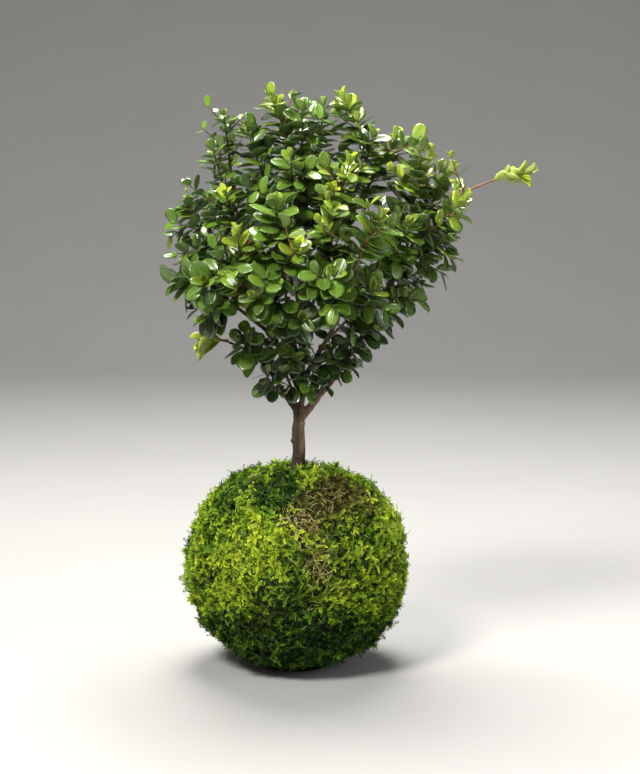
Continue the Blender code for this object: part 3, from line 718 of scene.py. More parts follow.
def moss_finish(name, ball):
    """Moss fronds: dark at their feet, partly their own colour and partly painted shade deep in the moss, and bright at
    their tips; from deep to yellow green and to brown by patch, with painted shade and painted highlights carried in
    the shade attribute.
    """
    material, tree, shader = new_material(name)
    tone = attribute_value(tree, "tone")
    shade = attribute_value(tree, "shade")
    dry = attribute_value(tree, "dry")
    height = attribute_value(tree, "tip")
    fine = noise_value(tree, 900, 2)
    bright = arithmetic(tree, "ADD", shade, ramp_value(tree, tone, 0.0, 1.0, -0.32, 0.32))
    colour = blend_colours(tree, ramp_value(tree, bright, 0.05, 0.50), ball.dark_moss, ball.green_moss)
    colour = blend_colours(tree, ramp_value(tree, bright, 0.50, 0.95), colour, ball.bright_moss)
    brown = blend_colours(tree, ramp_value(tree, bright, 0.25, 0.85), [c * 0.35 for c in ball.dry_moss],
                          ball.dry_moss)
    browned = arithmetic(tree, "ADD", dry, ramp_value(tree, tone, 0.0, 1.0, 0.30, -0.30))
    colour = blend_colours(tree, ramp_value(tree, browned, 0.30, 0.70), colour, brown)
    # The feet, and the bare sheet under them, are darker: partly their own colour, partly painted shade deep among the
    # fronds.
    foot = blend_colours(tree, 1.0, colour, (0.15, 0.19, 0.12), "MULTIPLY")
    colour = blend_colours(tree, ramp_value(tree, height, 0.05, 0.75), foot, colour)
    colour = blend_colours(tree, ramp_value(tree, fine, 0.40, 0.70, 0.0, 0.35), colour, foot)
    cover(tree, shader, colour, ramp_value(tree, fine, 0.3, 0.7, 0.45, 0.75), fine, 0.3, 0.2 * MM)
    shader.inputs["Specular IOR Level"].default_value = 0.25
    add_glow(tree, shader, colour, 0.22)
    return material


def add_glow(tree, shader, colour, share):
    """Light that comes through a thin leaf: part of the surface is translucent."""
    glow = add_node(tree, "ShaderNodeBsdfTranslucent", {"Color": colour})
    mix = add_node(tree, "ShaderNodeMixShader", {0: share, 1: shader.outputs[0], 2: glow.outputs[0]})
    feed(tree, tree.nodes["Material Output"].inputs["Surface"], mix.outputs[0])


def soil_finish():
    material, tree, shader = new_material("moist_soil")
    grains = noise_value(tree, 380, 6, rough=0.7)
    clods = noise_value(tree, 70, 3)
    colour = blend_colours(tree, ramp_value(tree, grains, 0.35, 0.68), (0.012, 0.008, 0.005), (0.060, 0.040, 0.024))
    colour = blend_colours(tree, ramp_value(tree, clods, 0.5, 0.7, 0.0, 0.6), colour, (0.085, 0.060, 0.036))
    cover(tree, shader, colour, ramp_value(tree, grains, 0.3, 0.7, 0.65, 0.95), grains, 1.0, 1.2 * MM)
    return material


def thread_finish(name, first, second):
    """Dull plant fibre: two shades along it and a fine twist."""
    material, tree, shader = new_material(name)
    patches = noise_value(tree, 120, 3)
    twist = noise_value(tree, 1500, 2)
    colour = blend_colours(tree, ramp_value(tree, patches, 0.38, 0.62), first, second)
    colour = blend_colours(tree, ramp_value(tree, twist, 0.45, 0.7, 0.0, 0.4), colour, [c * 0.4 for c in first])
    cover(tree, shader, colour, ramp_value(tree, twist, 0.3, 0.7, 0.55, 0.8), twist, 0.5, 0.1 * MM)
    return material


def floor_finish():
    material, tree, shader = new_material("pale_floor")
    colour = blend_colours(tree, noise_value(tree, 6, 3), (0.36, 0.355, 0.345), (0.40, 0.395, 0.385))
    feed(tree, shader.inputs["Base Color"], colour)
    shader.inputs["Roughness"].default_value = 0.75
    return material


# ---------------------------------------------------------------- growing trees of nodes

def group_tree(name, inputs):
    """A Geometry Nodes tree with named inputs: the tree, its inputs' sockets and their identifiers."""
    tree = bpy.data.node_groups.new(name, "GeometryNodeTree")
    tree.interface.new_socket("Geometry", in_out="INPUT", socket_type="NodeSocketGeometry")
    identifiers = {}
    for label, kind, default in inputs:
        socket = tree.interface.new_socket(label, in_out="INPUT", socket_type=f"NodeSocket{kind}")
        if default is not None:
            socket.default_value = default
        identifiers[label] = socket.identifier
    tree.interface.new_socket("Geometry", in_out="OUTPUT", socket_type="NodeSocketGeometry")
    return tree, tree.nodes.new("NodeGroupInput").outputs, identifiers


def named_field(tree, name, kind="FLOAT"):
    """The value of the piece's attribute of this name."""
    return add_node(tree, "GeometryNodeInputNamedAttribute", {"Name": name}, data_type=kind).outputs["Attribute"]


def random_field(tree, kind, low, high, seed):
    """A random value for each point, from its own fixed seed."""
    lowest, highest, result = {"FLOAT": (2, 3, 1), "INT": (4, 5, 2), "FLOAT_VECTOR": (0, 1, 0)}[kind]
    return add_node(tree, "FunctionNodeRandomValue", {"Seed": seed, lowest: low, highest: high},
                    data_type=kind).outputs[result]


def geometry_node(tree, kind, inputs, **properties):
    """The geometry that a node makes."""
    return add_node(tree, f"GeometryNode{kind}", inputs, **properties).outputs["Geometry"]


def set_on_points(tree, points, shapes, index, turn, scale):
    """One of a collection's shapes on each point."""
    info = add_node(tree, "GeometryNodeCollectionInfo",
                    {"Separate Children": True, "Reset Children": True, "Collection": shapes})
    return add_node(tree, "GeometryNodeInstanceOnPoints",
                    {"Pick Instance": True, "Points": points, "Instance": info.outputs["Instances"],
                     "Instance Index": index, "Rotation": turn, "Scale": scale}).outputs["Instances"]


def joined(tree, parts):
    join = tree.nodes.new("GeometryNodeJoinGeometry")
    for part in parts:
        tree.links.new(part, join.inputs["Geometry"])
    return join.outputs["Geometry"]


def tuft_layer(tree, points, turn, tufts, count, size, seed, smallest, largest):
    """Tufts from a collection set on the points, each with its own turn, size and tone, made real."""
    scale = arithmetic(tree, "MULTIPLY", random_field(tree, "FLOAT", smallest, largest, seed + 1), size)
    placed = set_on_points(tree, points, tufts, random_field(tree, "INT", 0, count - 1, seed), turn, scale)
    toned = geometry_node(tree, "StoreNamedAttribute",
                          {"Name": "tone", "Geometry": placed,
                           "Value": random_field(tree, "FLOAT", 0.0, 1.0, seed + 2)},
                          data_type="FLOAT", domain="INSTANCE")
    return geometry_node(tree, "RealizeInstances", {"Geometry": toned})


def tuft_turn(tree, normal, droop, lean, seed):
    """Each tuft stands on the sheet, hangs a little under its own weight, and leans and turns at random."""
    weight = add_node(tree, "ShaderNodeCombineXYZ", {"Z": droop}).outputs["Vector"]
    hang = add_node(tree, "ShaderNodeVectorMath", {0: normal, 1: weight}, operation="SUBTRACT").outputs["Vector"]
    stand = add_node(tree, "FunctionNodeAlignRotationToVector", {"Vector": hang}, axis="Z").outputs["Rotation"]
    amount = add_node(tree, "ShaderNodeCombineXYZ", {"X": lean, "Y": lean, "Z": 1.0}).outputs["Vector"]
    any_way = random_field(tree, "FLOAT_VECTOR", (-1, -1, -7), (1, 1, 7), seed)
    spread = add_node(tree, "ShaderNodeVectorMath", {0: any_way, 1: amount}, operation="MULTIPLY").outputs["Vector"]
    turned = add_node(tree, "FunctionNodeEulerToRotation", {"Euler": spread}).outputs["Rotation"]
    return add_node(tree, "FunctionNodeRotateRotation", {"Rotation": stand, "Rotate By": turned},
                    rotation_space="LOCAL").outputs["Rotation"]


def moss_growth_tree():
    """Moss on a sheet: short tufts all over and larger rosettes set apart, thick where its growth is high."""
    tree, given, names = group_tree("moss_growth", (
        ("Short tufts", "Collection", None), ("Short tufts per m2", "Float", 300000.0),
        ("Rosettes", "Collection", None), ("Rosette gap", "Float", 0.003), ("Tuft size", "Float", 1.0),
        ("Lean", "Float", 0.5), ("Droop", "Float", 0.3), ("Seed", "Int", 1), ("Moss", "Material", None)))
    sheet = given["Geometry"]
    growth = named_field(tree, "growth")
    size = arithmetic(tree, "ADD", arithmetic(tree, "MULTIPLY", growth, 0.5), 0.5)
    size = arithmetic(tree, "MULTIPLY", size, given["Tuft size"])
    grows = arithmetic(tree, "GREATER_THAN", growth, 0.02)
    short = add_node(tree, "GeometryNodeDistributePointsOnFaces",
                     {"Mesh": sheet, "Density": arithmetic(tree, "MULTIPLY", given["Short tufts per m2"], grows),
                      "Seed": given["Seed"]}).outputs
    apart = add_node(tree, "GeometryNodeDistributePointsOnFaces",
                     {"Mesh": sheet, "Distance Min": given["Rosette gap"], "Density Max": 900000.0,
                      "Density Factor": arithmetic(tree, "MULTIPLY", growth, 1.2), "Seed": given["Seed"]},
                     distribute_method="POISSON").outputs
    low = tuft_layer(tree, short["Points"], tuft_turn(tree, short["Normal"], given["Droop"], given["Lean"], 11),
                     given["Short tufts"], 3, size, 21, 0.7, 1.25)
    high = tuft_layer(tree, apart["Points"], tuft_turn(tree, apart["Normal"], given["Droop"], given["Lean"], 12),
                      given["Rosettes"], 5, size, 31, 0.75, 1.30)
    position = tree.nodes.new("GeometryNodeInputPosition").outputs["Position"]
    place = add_node(tree, "ShaderNodeSeparateXYZ", {"Vector": position}).outputs
    above = add_node(tree, "ShaderNodeCombineXYZ",
                     {"X": place["X"], "Y": place["Y"], "Z": arithmetic(tree, "MAXIMUM", place["Z"], 0.1 * MM)})
    settled = geometry_node(tree, "SetPosition", {"Geometry": joined(tree, (low, high, sheet)),
                                                  "Position": above.outputs["Vector"]})
    finished = geometry_node(tree, "SetMaterial", {"Geometry": settled, "Material": given["Moss"]})
    add_node(tree, "NodeGroupOutput", {"Geometry": finished})
    return tree, names


def leafing_tree():
    """Leaves on a shoot's stems: one at each loose point, turned, sized and shaped by the point's attributes."""
    tree, given, names = group_tree("leafing", (("Leaf shapes", "Collection", None), ("Leaf size", "Float", 1.0),
                                                ("Leaf", "Material", None), ("Stem", "Material", None)))
    split = add_node(tree, "GeometryNodeSeparateGeometry",
                     {"Geometry": given["Geometry"], "Selection": named_field(tree, "leaf_here", "BOOLEAN")}).outputs
    turned = add_node(tree, "FunctionNodeEulerToRotation", {"Euler": named_field(tree, "turned", "FLOAT_VECTOR")})
    size = arithmetic(tree, "MULTIPLY", named_field(tree, "size"), given["Leaf size"])
    placed = set_on_points(tree, split["Selection"], given["Leaf shapes"], named_field(tree, "shape", "INT"),
                           turned.outputs["Rotation"], size)
    real = geometry_node(tree, "RealizeInstances", {"Geometry": placed})
    leaves = geometry_node(tree, "SetMaterial", {"Geometry": real, "Material": given["Leaf"]})
    stems = geometry_node(tree, "SetMaterial", {"Geometry": split["Inverted"], "Material": given["Stem"]})
    add_node(tree, "NodeGroupOutput", {"Geometry": joined(tree, (leaves, stems))})
    return tree, names


def grown(piece, tree, names, values):
    """The piece with the tree's result as its own plain mesh."""
    modifier = piece.modifiers.new("growth", "NODES")
    modifier.node_group = tree
    for label, value in values.items():
        modifier[names[label]] = value
    bpy.context.view_layer.update()
    graph = bpy.context.evaluated_depsgraph_get()
    mesh = bpy.data.meshes.new_from_object(piece.evaluated_get(graph), preserve_all_data_layers=True, depsgraph=graph)
    piece.modifiers.clear()
    piece.data = mesh
    mesh.name = piece.name
    return piece


def object_from(name, mesh_data, collection=None, smooth=True):
    """An object from a bmesh."""
    mesh = bpy.data.meshes.new(name)
    mesh_data.to_mesh(mesh)
    mesh_data.free()
    if smooth:
        mesh.shade_smooth()
    else:
        mesh.shade_flat()
    made = bpy.data.objects.new(name, mesh)
    (collection or bpy.context.scene.collection).objects.link(made)
    return made


def shape_store(name):
    """A collection that holds the shapes to be repeated. It is emptied once they are."""
    store = bpy.data.collections.new(name)
    bpy.context.scene.collection.children.link(store)
    return store


def clear_store(store):
    for made in list(store.objects):
        bpy.data.objects.remove(made)
    bpy.data.collections.remove(store)


def set_attribute(mesh, name, kind, domain, values):
    attribute = mesh.attributes.get(name) or mesh.attributes.new(name, kind, domain)
    key = "vector" if kind == "FLOAT_VECTOR" else "value"
    attribute.data.foreach_set(key, np.array(values).reshape(-1))


# ---------------------------------------------------------------- shapes that are repeated

# Along a leaf: place, then half width as a share of the widest.
LEAF_STATIONS = ((-0.03, 0.09), (0.04, 0.18), (0.13, 0.56), (0.30, 0.90), (0.52, 1.0), (0.72, 0.94), (0.88, 0.68),
                 (0.97, 0.32), (1.0, 0.12))
# Leaf shapes: half width, fold at the midrib, cupping, droop to the tip, twist, shift of the widest place.
LEAF_SHAPES = (
    (0.35, 0.10, 0.04, 0.06, 0.05, 0.00),
    (0.37, 0.06, -0.05, 0.10, -0.08, 0.03),
    (0.34, 0.14, 0.02, 0.14, 0.12, -0.03),
    (0.37, 0.08, 0.08, -0.03, -0.15, 0.02),
    (0.33, 0.16, -0.04, 0.05, 0.18, 0.00),
    (0.38, 0.05, -0.07, 0.16, -0.05, 0.04),
    (0.28, 0.36, 0.03, -0.10, 0.10, 0.02),
)
BUD_SHAPE = 6


def leaf_shape(name, store, half_width, fold, cup, droop, twist, shift):
    """One leaf, a metre long along +X with its upper side to +Z: a thin closed blade on a short stalk."""
    across = (-1.0, -0.55, 0.0, 0.55, 1.0)
    blade = bmesh.new()
    layers = []
    for side in (1, -1):
        rows = []
        for k, (u, share) in enumerate(LEAF_STATIONS):
            row = []
            spread = half_width * share
            u = u + shift * math.sin(math.pi * max(u, 0))
            for v in across:
                edge = abs(v) == 1.0 or k == len(LEAF_STATIONS) - 1 or k == 0
                if side == -1 and edge:
                    row.append(layers[0][k][across.index(v)])
                    continue
                y = v * spread
                z = abs(y) * fold * 2 + cup * v * v * share - droop * max(u, 0) ** 2
                z += 0.012 * math.sin(9 * u + 2 * v) * abs(v) * share
                z += y * twist * u
                if v == 0.0:
                    z -= 0.008 * share if side == 1 else 0.022 * (1.1 - u)
                z += 0.007 * side * (0 if edge else 1)
                row.append(blade.verts.new((u, y, z)))
            rows.append(row)
        layers.append(rows)
    uv = blade.loops.layers.uv.new("UVMap")
    for side, rows in zip((1, -1), layers):
        for k in range(len(rows) - 1):
            for j in range(len(across) - 1):
                corners = [rows[k][j], rows[k + 1][j], rows[k + 1][j + 1], rows[k][j + 1]]
                if side == -1:
                    corners.reverse()
                face = blade.faces.new(corners)
                face.material_index = 0 if side == 1 else 1
    place = {}
    for rows in layers:
        for k, row in enumerate(rows):
            for j, vert in enumerate(row):
                share = LEAF_STATIONS[k][1]
                place[vert] = (max(LEAF_STATIONS[k][0], 0), 0.5 + 0.5 * across[j] * share)
    for face in blade.faces:
        for loop in face.loops:
            loop[uv].uv = place[loop.vert]
    made = object_from(name, blade, store)
    under = [float(face.material_index) for face in made.data.polygons]
    set_attribute(made.data, "under", "FLOAT", "FACE", under)
    made.data.polygons.foreach_set("material_index", [0] * len(under))
    return made


def leaflet(tuft, foot, way, width, length, heights, layer):
    """A thin kite-shaped leaflet, closed by its fold."""
    across = way.cross(UP)
    across = across.normalized() if across.length > 0.01 else Vector((1, 0, 0))
    raised = across.cross(way)
    middle = foot + way * length * 0.45 + raised * width * 0.22
    low, high = heights
    points = ((foot, low), (middle + across * width * 0.5, 0.5 * (low + high)),
              (middle - across * width * 0.5, 0.5 * (low + high)), (foot + way * length, high))
    verts = []
    for point, height in points:
        vert = tuft.verts.new(point)
        vert[layer] = height
        verts.append(vert)
    for corners in ((0, 1, 2), (1, 3, 2), (0, 3, 1), (0, 2, 3)):
        tuft.faces.new([verts[k] for k in corners])


def star_tuft(name, store, rng, count, height, width, flatness):
    """A rosette: leaflets from one foot, the outer ones leaning out."""
    tuft = bmesh.new()
    layer = tuft.verts.layers.float.new("tip")
    for k in range(count):
        azimuth = NEXT_TURN * k + rng.uniform(-0.3, 0.3)
        rise = math.radians(86 - flatness * (k / count) ** 0.8 + rng.uniform(-8, 8))
        way = Vector((math.cos(rise) * math.cos(azimuth), math.cos(rise) * math.sin(azimuth), math.sin(rise)))
        length = height * rng.uniform(0.75, 1.15)
        leaflet(tuft, way * 0.1 * MM, way, width * rng.uniform(0.8, 1.2), length, (0.0, 1.0), layer)
    bmesh.ops.recalc_face_normals(tuft, faces=tuft.faces)
    return object_from(name, tuft, store, False)


def feather_tuft(name, store, rng, fronds, height, reach):
    """Arching fronds, each with leaflets down both sides that shorten to its tip."""
    tuft = bmesh.new()
    layer = tuft.verts.layers.float.new("tip")
    for k in range(fronds):
        azimuth = 2 * math.pi * k / fronds + rng.uniform(-0.5, 0.5)
        out = Vector((math.cos(azimuth), math.sin(azimuth), 0))
        side = Vector((-out.y, out.x, 0))
        size = rng.uniform(0.8, 1.2)
        for j in range(5):
            t = (j + 0.6) / 5
            foot = (out * reach * t ** 1.4 + UP * height * (1.3 * t - 0.55 * t * t)) * size
            ahead = (out * reach * 1.4 * t ** 0.4 + UP * height * (1.3 - 1.1 * t)).normalized()
            for hand in (-1, 1):
                way = (side * hand * 0.85 + ahead * 0.65 + UP * 0.2).normalized()
                leaflet(tuft, foot, way, 0.85 * MM, 1.9 * MM * (1.15 - 0.55 * t), (0.15 + 0.55 * t, 0.40 + 0.6 * t),
                        layer)
        leaflet(tuft, foot, ahead, 0.8 * MM, 1.5 * MM, (0.8, 1.0), layer)
    bmesh.ops.recalc_face_normals(tuft, faces=tuft.faces)
    return object_from(name, tuft, store, False)


# ---------------------------------------------------------------- pieces

def shares_of(steps):
    return [k / steps for k in range(steps + 1)]


def smooth_tube(points, steps, start, end, sides):
    """A tube along the smooth curve through the points, from one radius to another."""
    shares = shares_of(steps)
    return tube_mesh([on_curve(points, share) for share in shares],
                     [start + (end - start) * share for share in shares], sides)


# Bark, in millimetres: the ridges' depth on the trunk and on the limbs, and the slow swells'. The trunk ends here.
TRUNK_RIDGES, LIMB_RIDGES, SWELLS = 0.30, 0.12, 0.32
TRUNK_TOP = 165 * MM
# Knots on the wood, in millimetres: place and radius. They sit at old forks and broken twigs.
KNOTS = (((-1.3, -1.5, 131), 1.7), ((3.5, -1.0, 141), 2.3), ((1.5, -2.6, 122), 1.8), ((2.0, 0, 149), 3.9),
         ((3.4, 1.0, 163), 3.2), ((24, -3, 171), 2.5), ((-13, -2, 192), 2.0), ((3.5, 1.6, 177), 2.8))


def wood_mesh():
    """Trunk, limbs and roots grown into one skin, with bark ridges and small knots."""
    skin = bmesh.new()
    for limb in LIMBS:
        steps = 6 * (len(LIMBS[limb][2]) - 1)
        add_parts(skin, limb_tube(limb, steps, 12, 0.05 * MM))
    for start, end, points in ROOTS:
        add_parts(skin, smooth_tube([Vector(point) * MM for point in points], 12, start * MM, end * MM, 10))
    for place, radius in KNOTS:
        ball = bmesh.new()
        bmesh.ops.create_icosphere(ball, subdivisions=2, radius=radius * MM,
                                   matrix=Matrix.Translation(Vector(place) * MM))
        add_parts(skin, ball)
    return skin


def add_parts(target, part):
    """Puts a bmesh into another one and frees it."""
    mesh = bpy.data.meshes.new("part")
    part.to_mesh(mesh)
    part.free()
    target.from_mesh(mesh)
    bpy.data.meshes.remove(mesh)


def build_wood(plant):
    """The woody plant's skin: its tubes and knots melted into one body, smoothed, then given its bark."""
    skin = wood_mesh()
    bmesh.ops.recalc_face_normals(skin, faces=skin.faces)
    piece = object_from("trunk_limbs_and_roots", skin)
    remesh = piece.modifiers.new("skin", "REMESH")
    remesh.mode = "VOXEL"
    remesh.voxel_size = plant.bark_detail
    remesh.use_smooth_shade = True
    smooth = piece.modifiers.new("soften", "SMOOTH")
    smooth.factor = 0.5
    smooth.iterations = 3
    bpy.context.view_layer.update()
    graph = bpy.context.evaluated_depsgraph_get()
    mesh = bpy.data.meshes.new_from_object(piece.evaluated_get(graph), depsgraph=graph)
    piece.modifiers.clear()
    piece.data = mesh
    mesh.shade_smooth()
    places = [vert.co.copy() for vert in mesh.vertices]
    normals = [vert.normal.copy() for vert in mesh.vertices]
    moved = []
    for place, normal in zip(places, normals):
        ridge = noise.noise(Vector((place.x * 700, place.y * 700, place.z * 95)))
        swell = noise.noise(Vector((place.x * 130, place.y * 130, place.z * 110 + 3)))
        deep = TRUNK_RIDGES if place.z < TRUNK_TOP else LIMB_RIDGES
        moved.extend(place + normal * (ridge * deep + swell * SWELLS) * MM)
    mesh.vertices.foreach_set("co", moved)
    mesh.update()
    mesh.materials.append(bark_finish())
    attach(piece, "root")
    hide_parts("trunk_and_branches")
    return piece


def leaf_frame(leaf):
    """The turn that brings a leaf shape's +X and +Z to the leaf's own way and upper side, as Euler angles."""
    base, forward, normal, length = leaf
    side = normal.cross(forward).normalized()
    normal = forward.cross(side).normalized()
    return Matrix((forward, side, normal)).transposed().to_euler()


def stem_tubes(stem):
    """The shoot's stem and its side twigs as smooth tubes whose feet are sunk in what they grow from."""
    tubes = bmesh.new()
    line = stem["line"]
    foot = line[0] - (line[1] - line[0]).normalized() * 1.9 * MM
    add_parts(tubes, smooth_tube([foot] + line, 4 * len(line), 1.05 * MM, 0.42 * MM, 7))
    for twig in stem["twigs"]:
        add_parts(tubes, smooth_tube(twig["line"], 6, 0.55 * MM, 0.30 * MM, 6))
    bmesh.ops.recalc_face_normals(tubes, faces=tubes.faces)
    return tubes


def end_buds(line, length, young, rng):
    """The small folded leaves of the bud at a stem's end: two outer ones, then two inner ones."""
    forward = (line[-1] - line[-2]).normalized()
    across = forward.cross(Vector((0.3, 0.9, 0.1))).normalized()
    buds = []
    turn = rng.uniform(0, math.pi)
    rising = (forward + UP * (0.5 if young else 0.2)).normalized()
    for inner, spread, share in ((0, 0.52, 0.52), (1, 0.22, 0.40)):
        for half in (0, 1):
            outward = way_around(forward, across, turn + math.pi * half + inner * math.pi / 2)
            way = (rising * math.cos(spread) + outward * math.sin(spread)).normalized()
            face = (rising - way * rising.dot(way)).normalized()
            buds.append((line[-1] - forward * 0.2 * MM, way, face, length * share * (1.30 if young else 0.9)))
    return buds


# The room in front of the trunk's fork that leaves keep out of: its middle, half width, front and top.
FORK_X, FORK_HALF_WIDTH, FORK_FRONT, FORK_TOP = 3 * MM, 19 * MM, 6 * MM, 155 * MM
# From 0, grown, to 1, newest: leaves newer than this have the bud's narrow shape.
BUDDING = 0.65


def hides_fork(leaf):
    """Whether this leaf would hang in front of the trunk's fork, which stays in sight."""
    middle = (leaf[0] + leaf_tip(leaf)) / 2
    lowest = min(middle.z, leaf_tip(leaf).z)
    return abs(middle.x - FORK_X) < FORK_HALF_WIDTH and middle.y < FORK_FRONT and lowest < FORK_TOP


def fresh_leaf(leaf, age, rising, larger):
    """A young leaf is smaller than a grown one and stands closer to the stem."""
    base, way, face, size = leaf
    way = (way + rising * (0.55 if larger > 1 else 1.0) * age).normalized()
    face = (face - way * face.dot(way)).normalized()
    return base, way, face, size * (1 - 0.40 * age) * larger


def shape_for(age, rng):
    return BUD_SHAPE if age > BUDDING else rng.randrange(BUD_SHAPE)


def leaves_of(stem, rng):
    """Each leaf of a shoot and its twigs, with its age from 0 to 1 and its shape."""
    leaves = []
    base, tip = stem["line"][0], stem["line"][-1]
    larger, bare = BRIGHT_SHOOTS.get(stem["name"], (1.0, 0.0))
    rising = ((stem["line"][-1] - stem["line"][-2]).normalized() + UP * 0.35).normalized()
    for leaf in stem["leaves"]:
        out = min(max((leaf[0] - base).dot((tip - base).normalized()) / (tip - base).length, 0), 1)
        if out < bare or hides_fork(leaf):
            continue
        if larger > 1:
            age = rng.uniform(0.75, 1.0)
        elif stem["young"]:
            age = max(0.0, (out - 0.58) / 0.42) * rng.uniform(0.6, 1.0)
        else:
            age = max(0.0, (out - 0.80) / 0.20) * rng.uniform(0.0, 0.45)
        shape = shape_for(age, rng)
        leaves.append((fresh_leaf(leaf, age, rising, larger), age, shape))
    for twig in stem["twigs"]:
        foot, end = twig["line"][0], twig["line"][-1]
        upright = ((end - foot).normalized() + UP * 0.5).normalized()
        for leaf in twig["leaves"]:
            if hides_fork(leaf):
                continue
            age = rng.uniform(0.0, 0.45 if stem["young"] else 0.16)
            if twig["new"] and (leaf[0] - foot).length / (end - foot).length > 0.55:
                age = rng.uniform(0.75, 1.0)
            shape = shape_for(age, rng)
            leaves.append((fresh_leaf(leaf, age, upright, 1.0) if twig["new"] else leaf, age, shape))
        for leaf in end_buds(twig["line"], twig["length"] * 0.8, stem["young"], rng)[0 if twig["new"] else 2:]:
            leaves.append((leaf, rng.uniform(0.8, 1.0) if twig["new"] else rng.uniform(0.2, 0.6), BUD_SHAPE))
    for leaf in end_buds(stem["line"], stem["length"] * larger ** 0.5, stem["young"], rng):
        leaves.append((leaf, rng.uniform(0.7, 1.0) if stem["young"] else rng.uniform(0.25, 0.7), BUD_SHAPE))
    return leaves


def leaf_tone_with_painted_light(leaf, age, rng):
    """How bright a leaf is, from 0 to 1, partly its own tone and partly painted light: painted lighter high up and at
    the crown's outside, where the light from above falls, and painted darker low and inside the crown; new leaves are
    brightest by their own colour.
    """
    height = min(max((leaf[0].z - 185 * MM) / (115 * MM), 0.0), 1.0)
    outer = min(math.hypot(leaf[0].x - 5 * MM, leaf[0].y) / (60 * MM), 1.0)
    tone = rng.gauss(0.03 + 0.75 * height + 0.22 * outer, 0.25)
    return rng.uniform(0.7, 1.0) if age > 0.6 else min(max(tone, 0.0), 1.0)


def build_shoot(stem, tree, names, shapes, finishes, crown, rng):
    """One shoot: its stems as a mesh, and a loose point for each leaf, which the tree turns into leaves."""
    tubes = stem_tubes(stem)
    solid_count = len(tubes.verts)
    leaves = leaves_of(stem, rng)
    for leaf, age, shape in leaves:
        tubes.verts.new(leaf[0])
    piece = object_from(f"{stem['name']}_shoot", tubes)
    # Each leaf's tone, with painted light from its height and its place in the crown.
    tones_with_painted_light = [leaf_tone_with_painted_light(leaf, age, rng) for leaf, age, shape in leaves]
    turns = [tuple(leaf_frame(leaf)) for leaf, age, shape in leaves]
    for name, kind, nothing, values in (
            ("leaf_here", "BOOLEAN", False, [True] * len(leaves)),
            ("turned", "FLOAT_VECTOR", (0.0, 0.0, 0.0), turns),
            ("size", "FLOAT", 0.0, [leaf[3] for leaf, age, shape in leaves]),
            ("shape", "INT", 0, [shape for leaf, age, shape in leaves]),
            ("age", "FLOAT", 0.0, [age for leaf, age, shape in leaves]),
            ("tone", "FLOAT", 0.0, tones_with_painted_light)):
        set_attribute(piece.data, name, kind, "POINT", [nothing] * solid_count + values)
    grown(piece, tree, names, {"Leaf shapes": shapes, "Leaf size": crown.leaf_size, "Leaf": finishes[0],
                               "Stem": finishes[1]})
    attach(piece, "root")
    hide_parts(f"shoot_{stem['name']}")
    return piece


# How far the sheets' grid wavers down and round the ball, so that the seams aren't straight.
SWAY_DOWN, SWAY_ROUND = 0.05, 0.10
SEAM = 0.15 * MM
MAT_FINENESS = 8
PAD_SIDES = 96


def fine_angles(row, column):
    """The two angles of a place on the moss sheets' grid, at a crossing or between."""
    below = min(int(row), len(ROWS) - 2)
    polar = ROWS[below] + (ROWS[below + 1] - ROWS[below]) * (row - below)
    turn = 2 * math.pi * column / COLUMNS
    sway = math.sin(polar) ** 2
    return polar + SWAY_DOWN * sway * math.sin(3 * turn + polar), turn + SWAY_ROUND * sway * math.sin(4 * polar)


def cushion(place):
    """How far the moss stands proud of its mean here, from 0 to 1: rounded cushions with creases between them."""
    near = noise.voronoi(place * 92, distance_metric="DISTANCE")[0]
    dome = max(0.0, 1 - near[0] * near[0] * 2.0)
    crease = min(1.0, (near[1] - near[0]) * 2.6)
    return 0.62 * dome * crease + 0.38 * (0.5 + 0.5 * noise.noise(place * 55))


def clump(place):
    """How deep between the small clumps of the moss this is: 1 on a clump, 0 in a gap."""
    near = noise.voronoi(place * 205 + Vector((0.5, 0.2, 0.8)), distance_metric="DISTANCE")[0]
    return min(1.0, (near[1] - near[0]) * 2.4)


# Patches of the moss: angle from +Z, angle about +Z, reach down and reach round in degrees, then how much lighter
# (above 0) or darker (below 0) and how much drier the moss is in the middle of the patch. The lighter and darker
# patches are partly the moss's own tone and partly painted light: painted shade in the hollows below the trunk and low
# on the front, painted highlights where the light falls on the front left and right.
MOSS_PATCHES = (
    (40, -101, 13, 20, -0.85, 0.0), (48, -143, 12, 13, -0.60, 0.0), (20, -120, 14, 40, -0.45, 0.0),
    (37, -46, 15, 27, -0.10, 1.0), (47, -68, 10, 20, 0.0, 0.75), (58, -85, 8, 9, 0.25, 0.75),
    (79, -78, 13, 9, 0.20, 0.50), (64, -122, 22, 30, 0.38, 0.0), (62, -103, 9, 12, 0.30, 0.0),
    (66, -16, 15, 16, 0.38, 0.10), (92, -128, 20, 26, 0.15, 0.0), (88, -42, 22, 28, 0.12, 0.0),
    (114, -94, 15, 12, -0.80, 0.0), (100, -92, 12, 7, -0.55, 0.0), (96, -66, 8, 12, 0.30, 0.15),
    (50, 80, 18, 30, 0.30, 0.20), (75, 140, 22, 24, 0.35, 0.0), (60, 30, 18, 22, -0.30, 0.45),
    (95, 60, 20, 25, -0.25, 0.0), (85, 100, 16, 18, 0.30, 0.15), (30, 150, 16, 30, -0.40, 0.25),
    (70, 175, 18, 20, -0.30, 0.0), (105, 150, 16, 22, -0.35, 0.20), (88, 15, 16, 14, 0.25, 0.0),
)


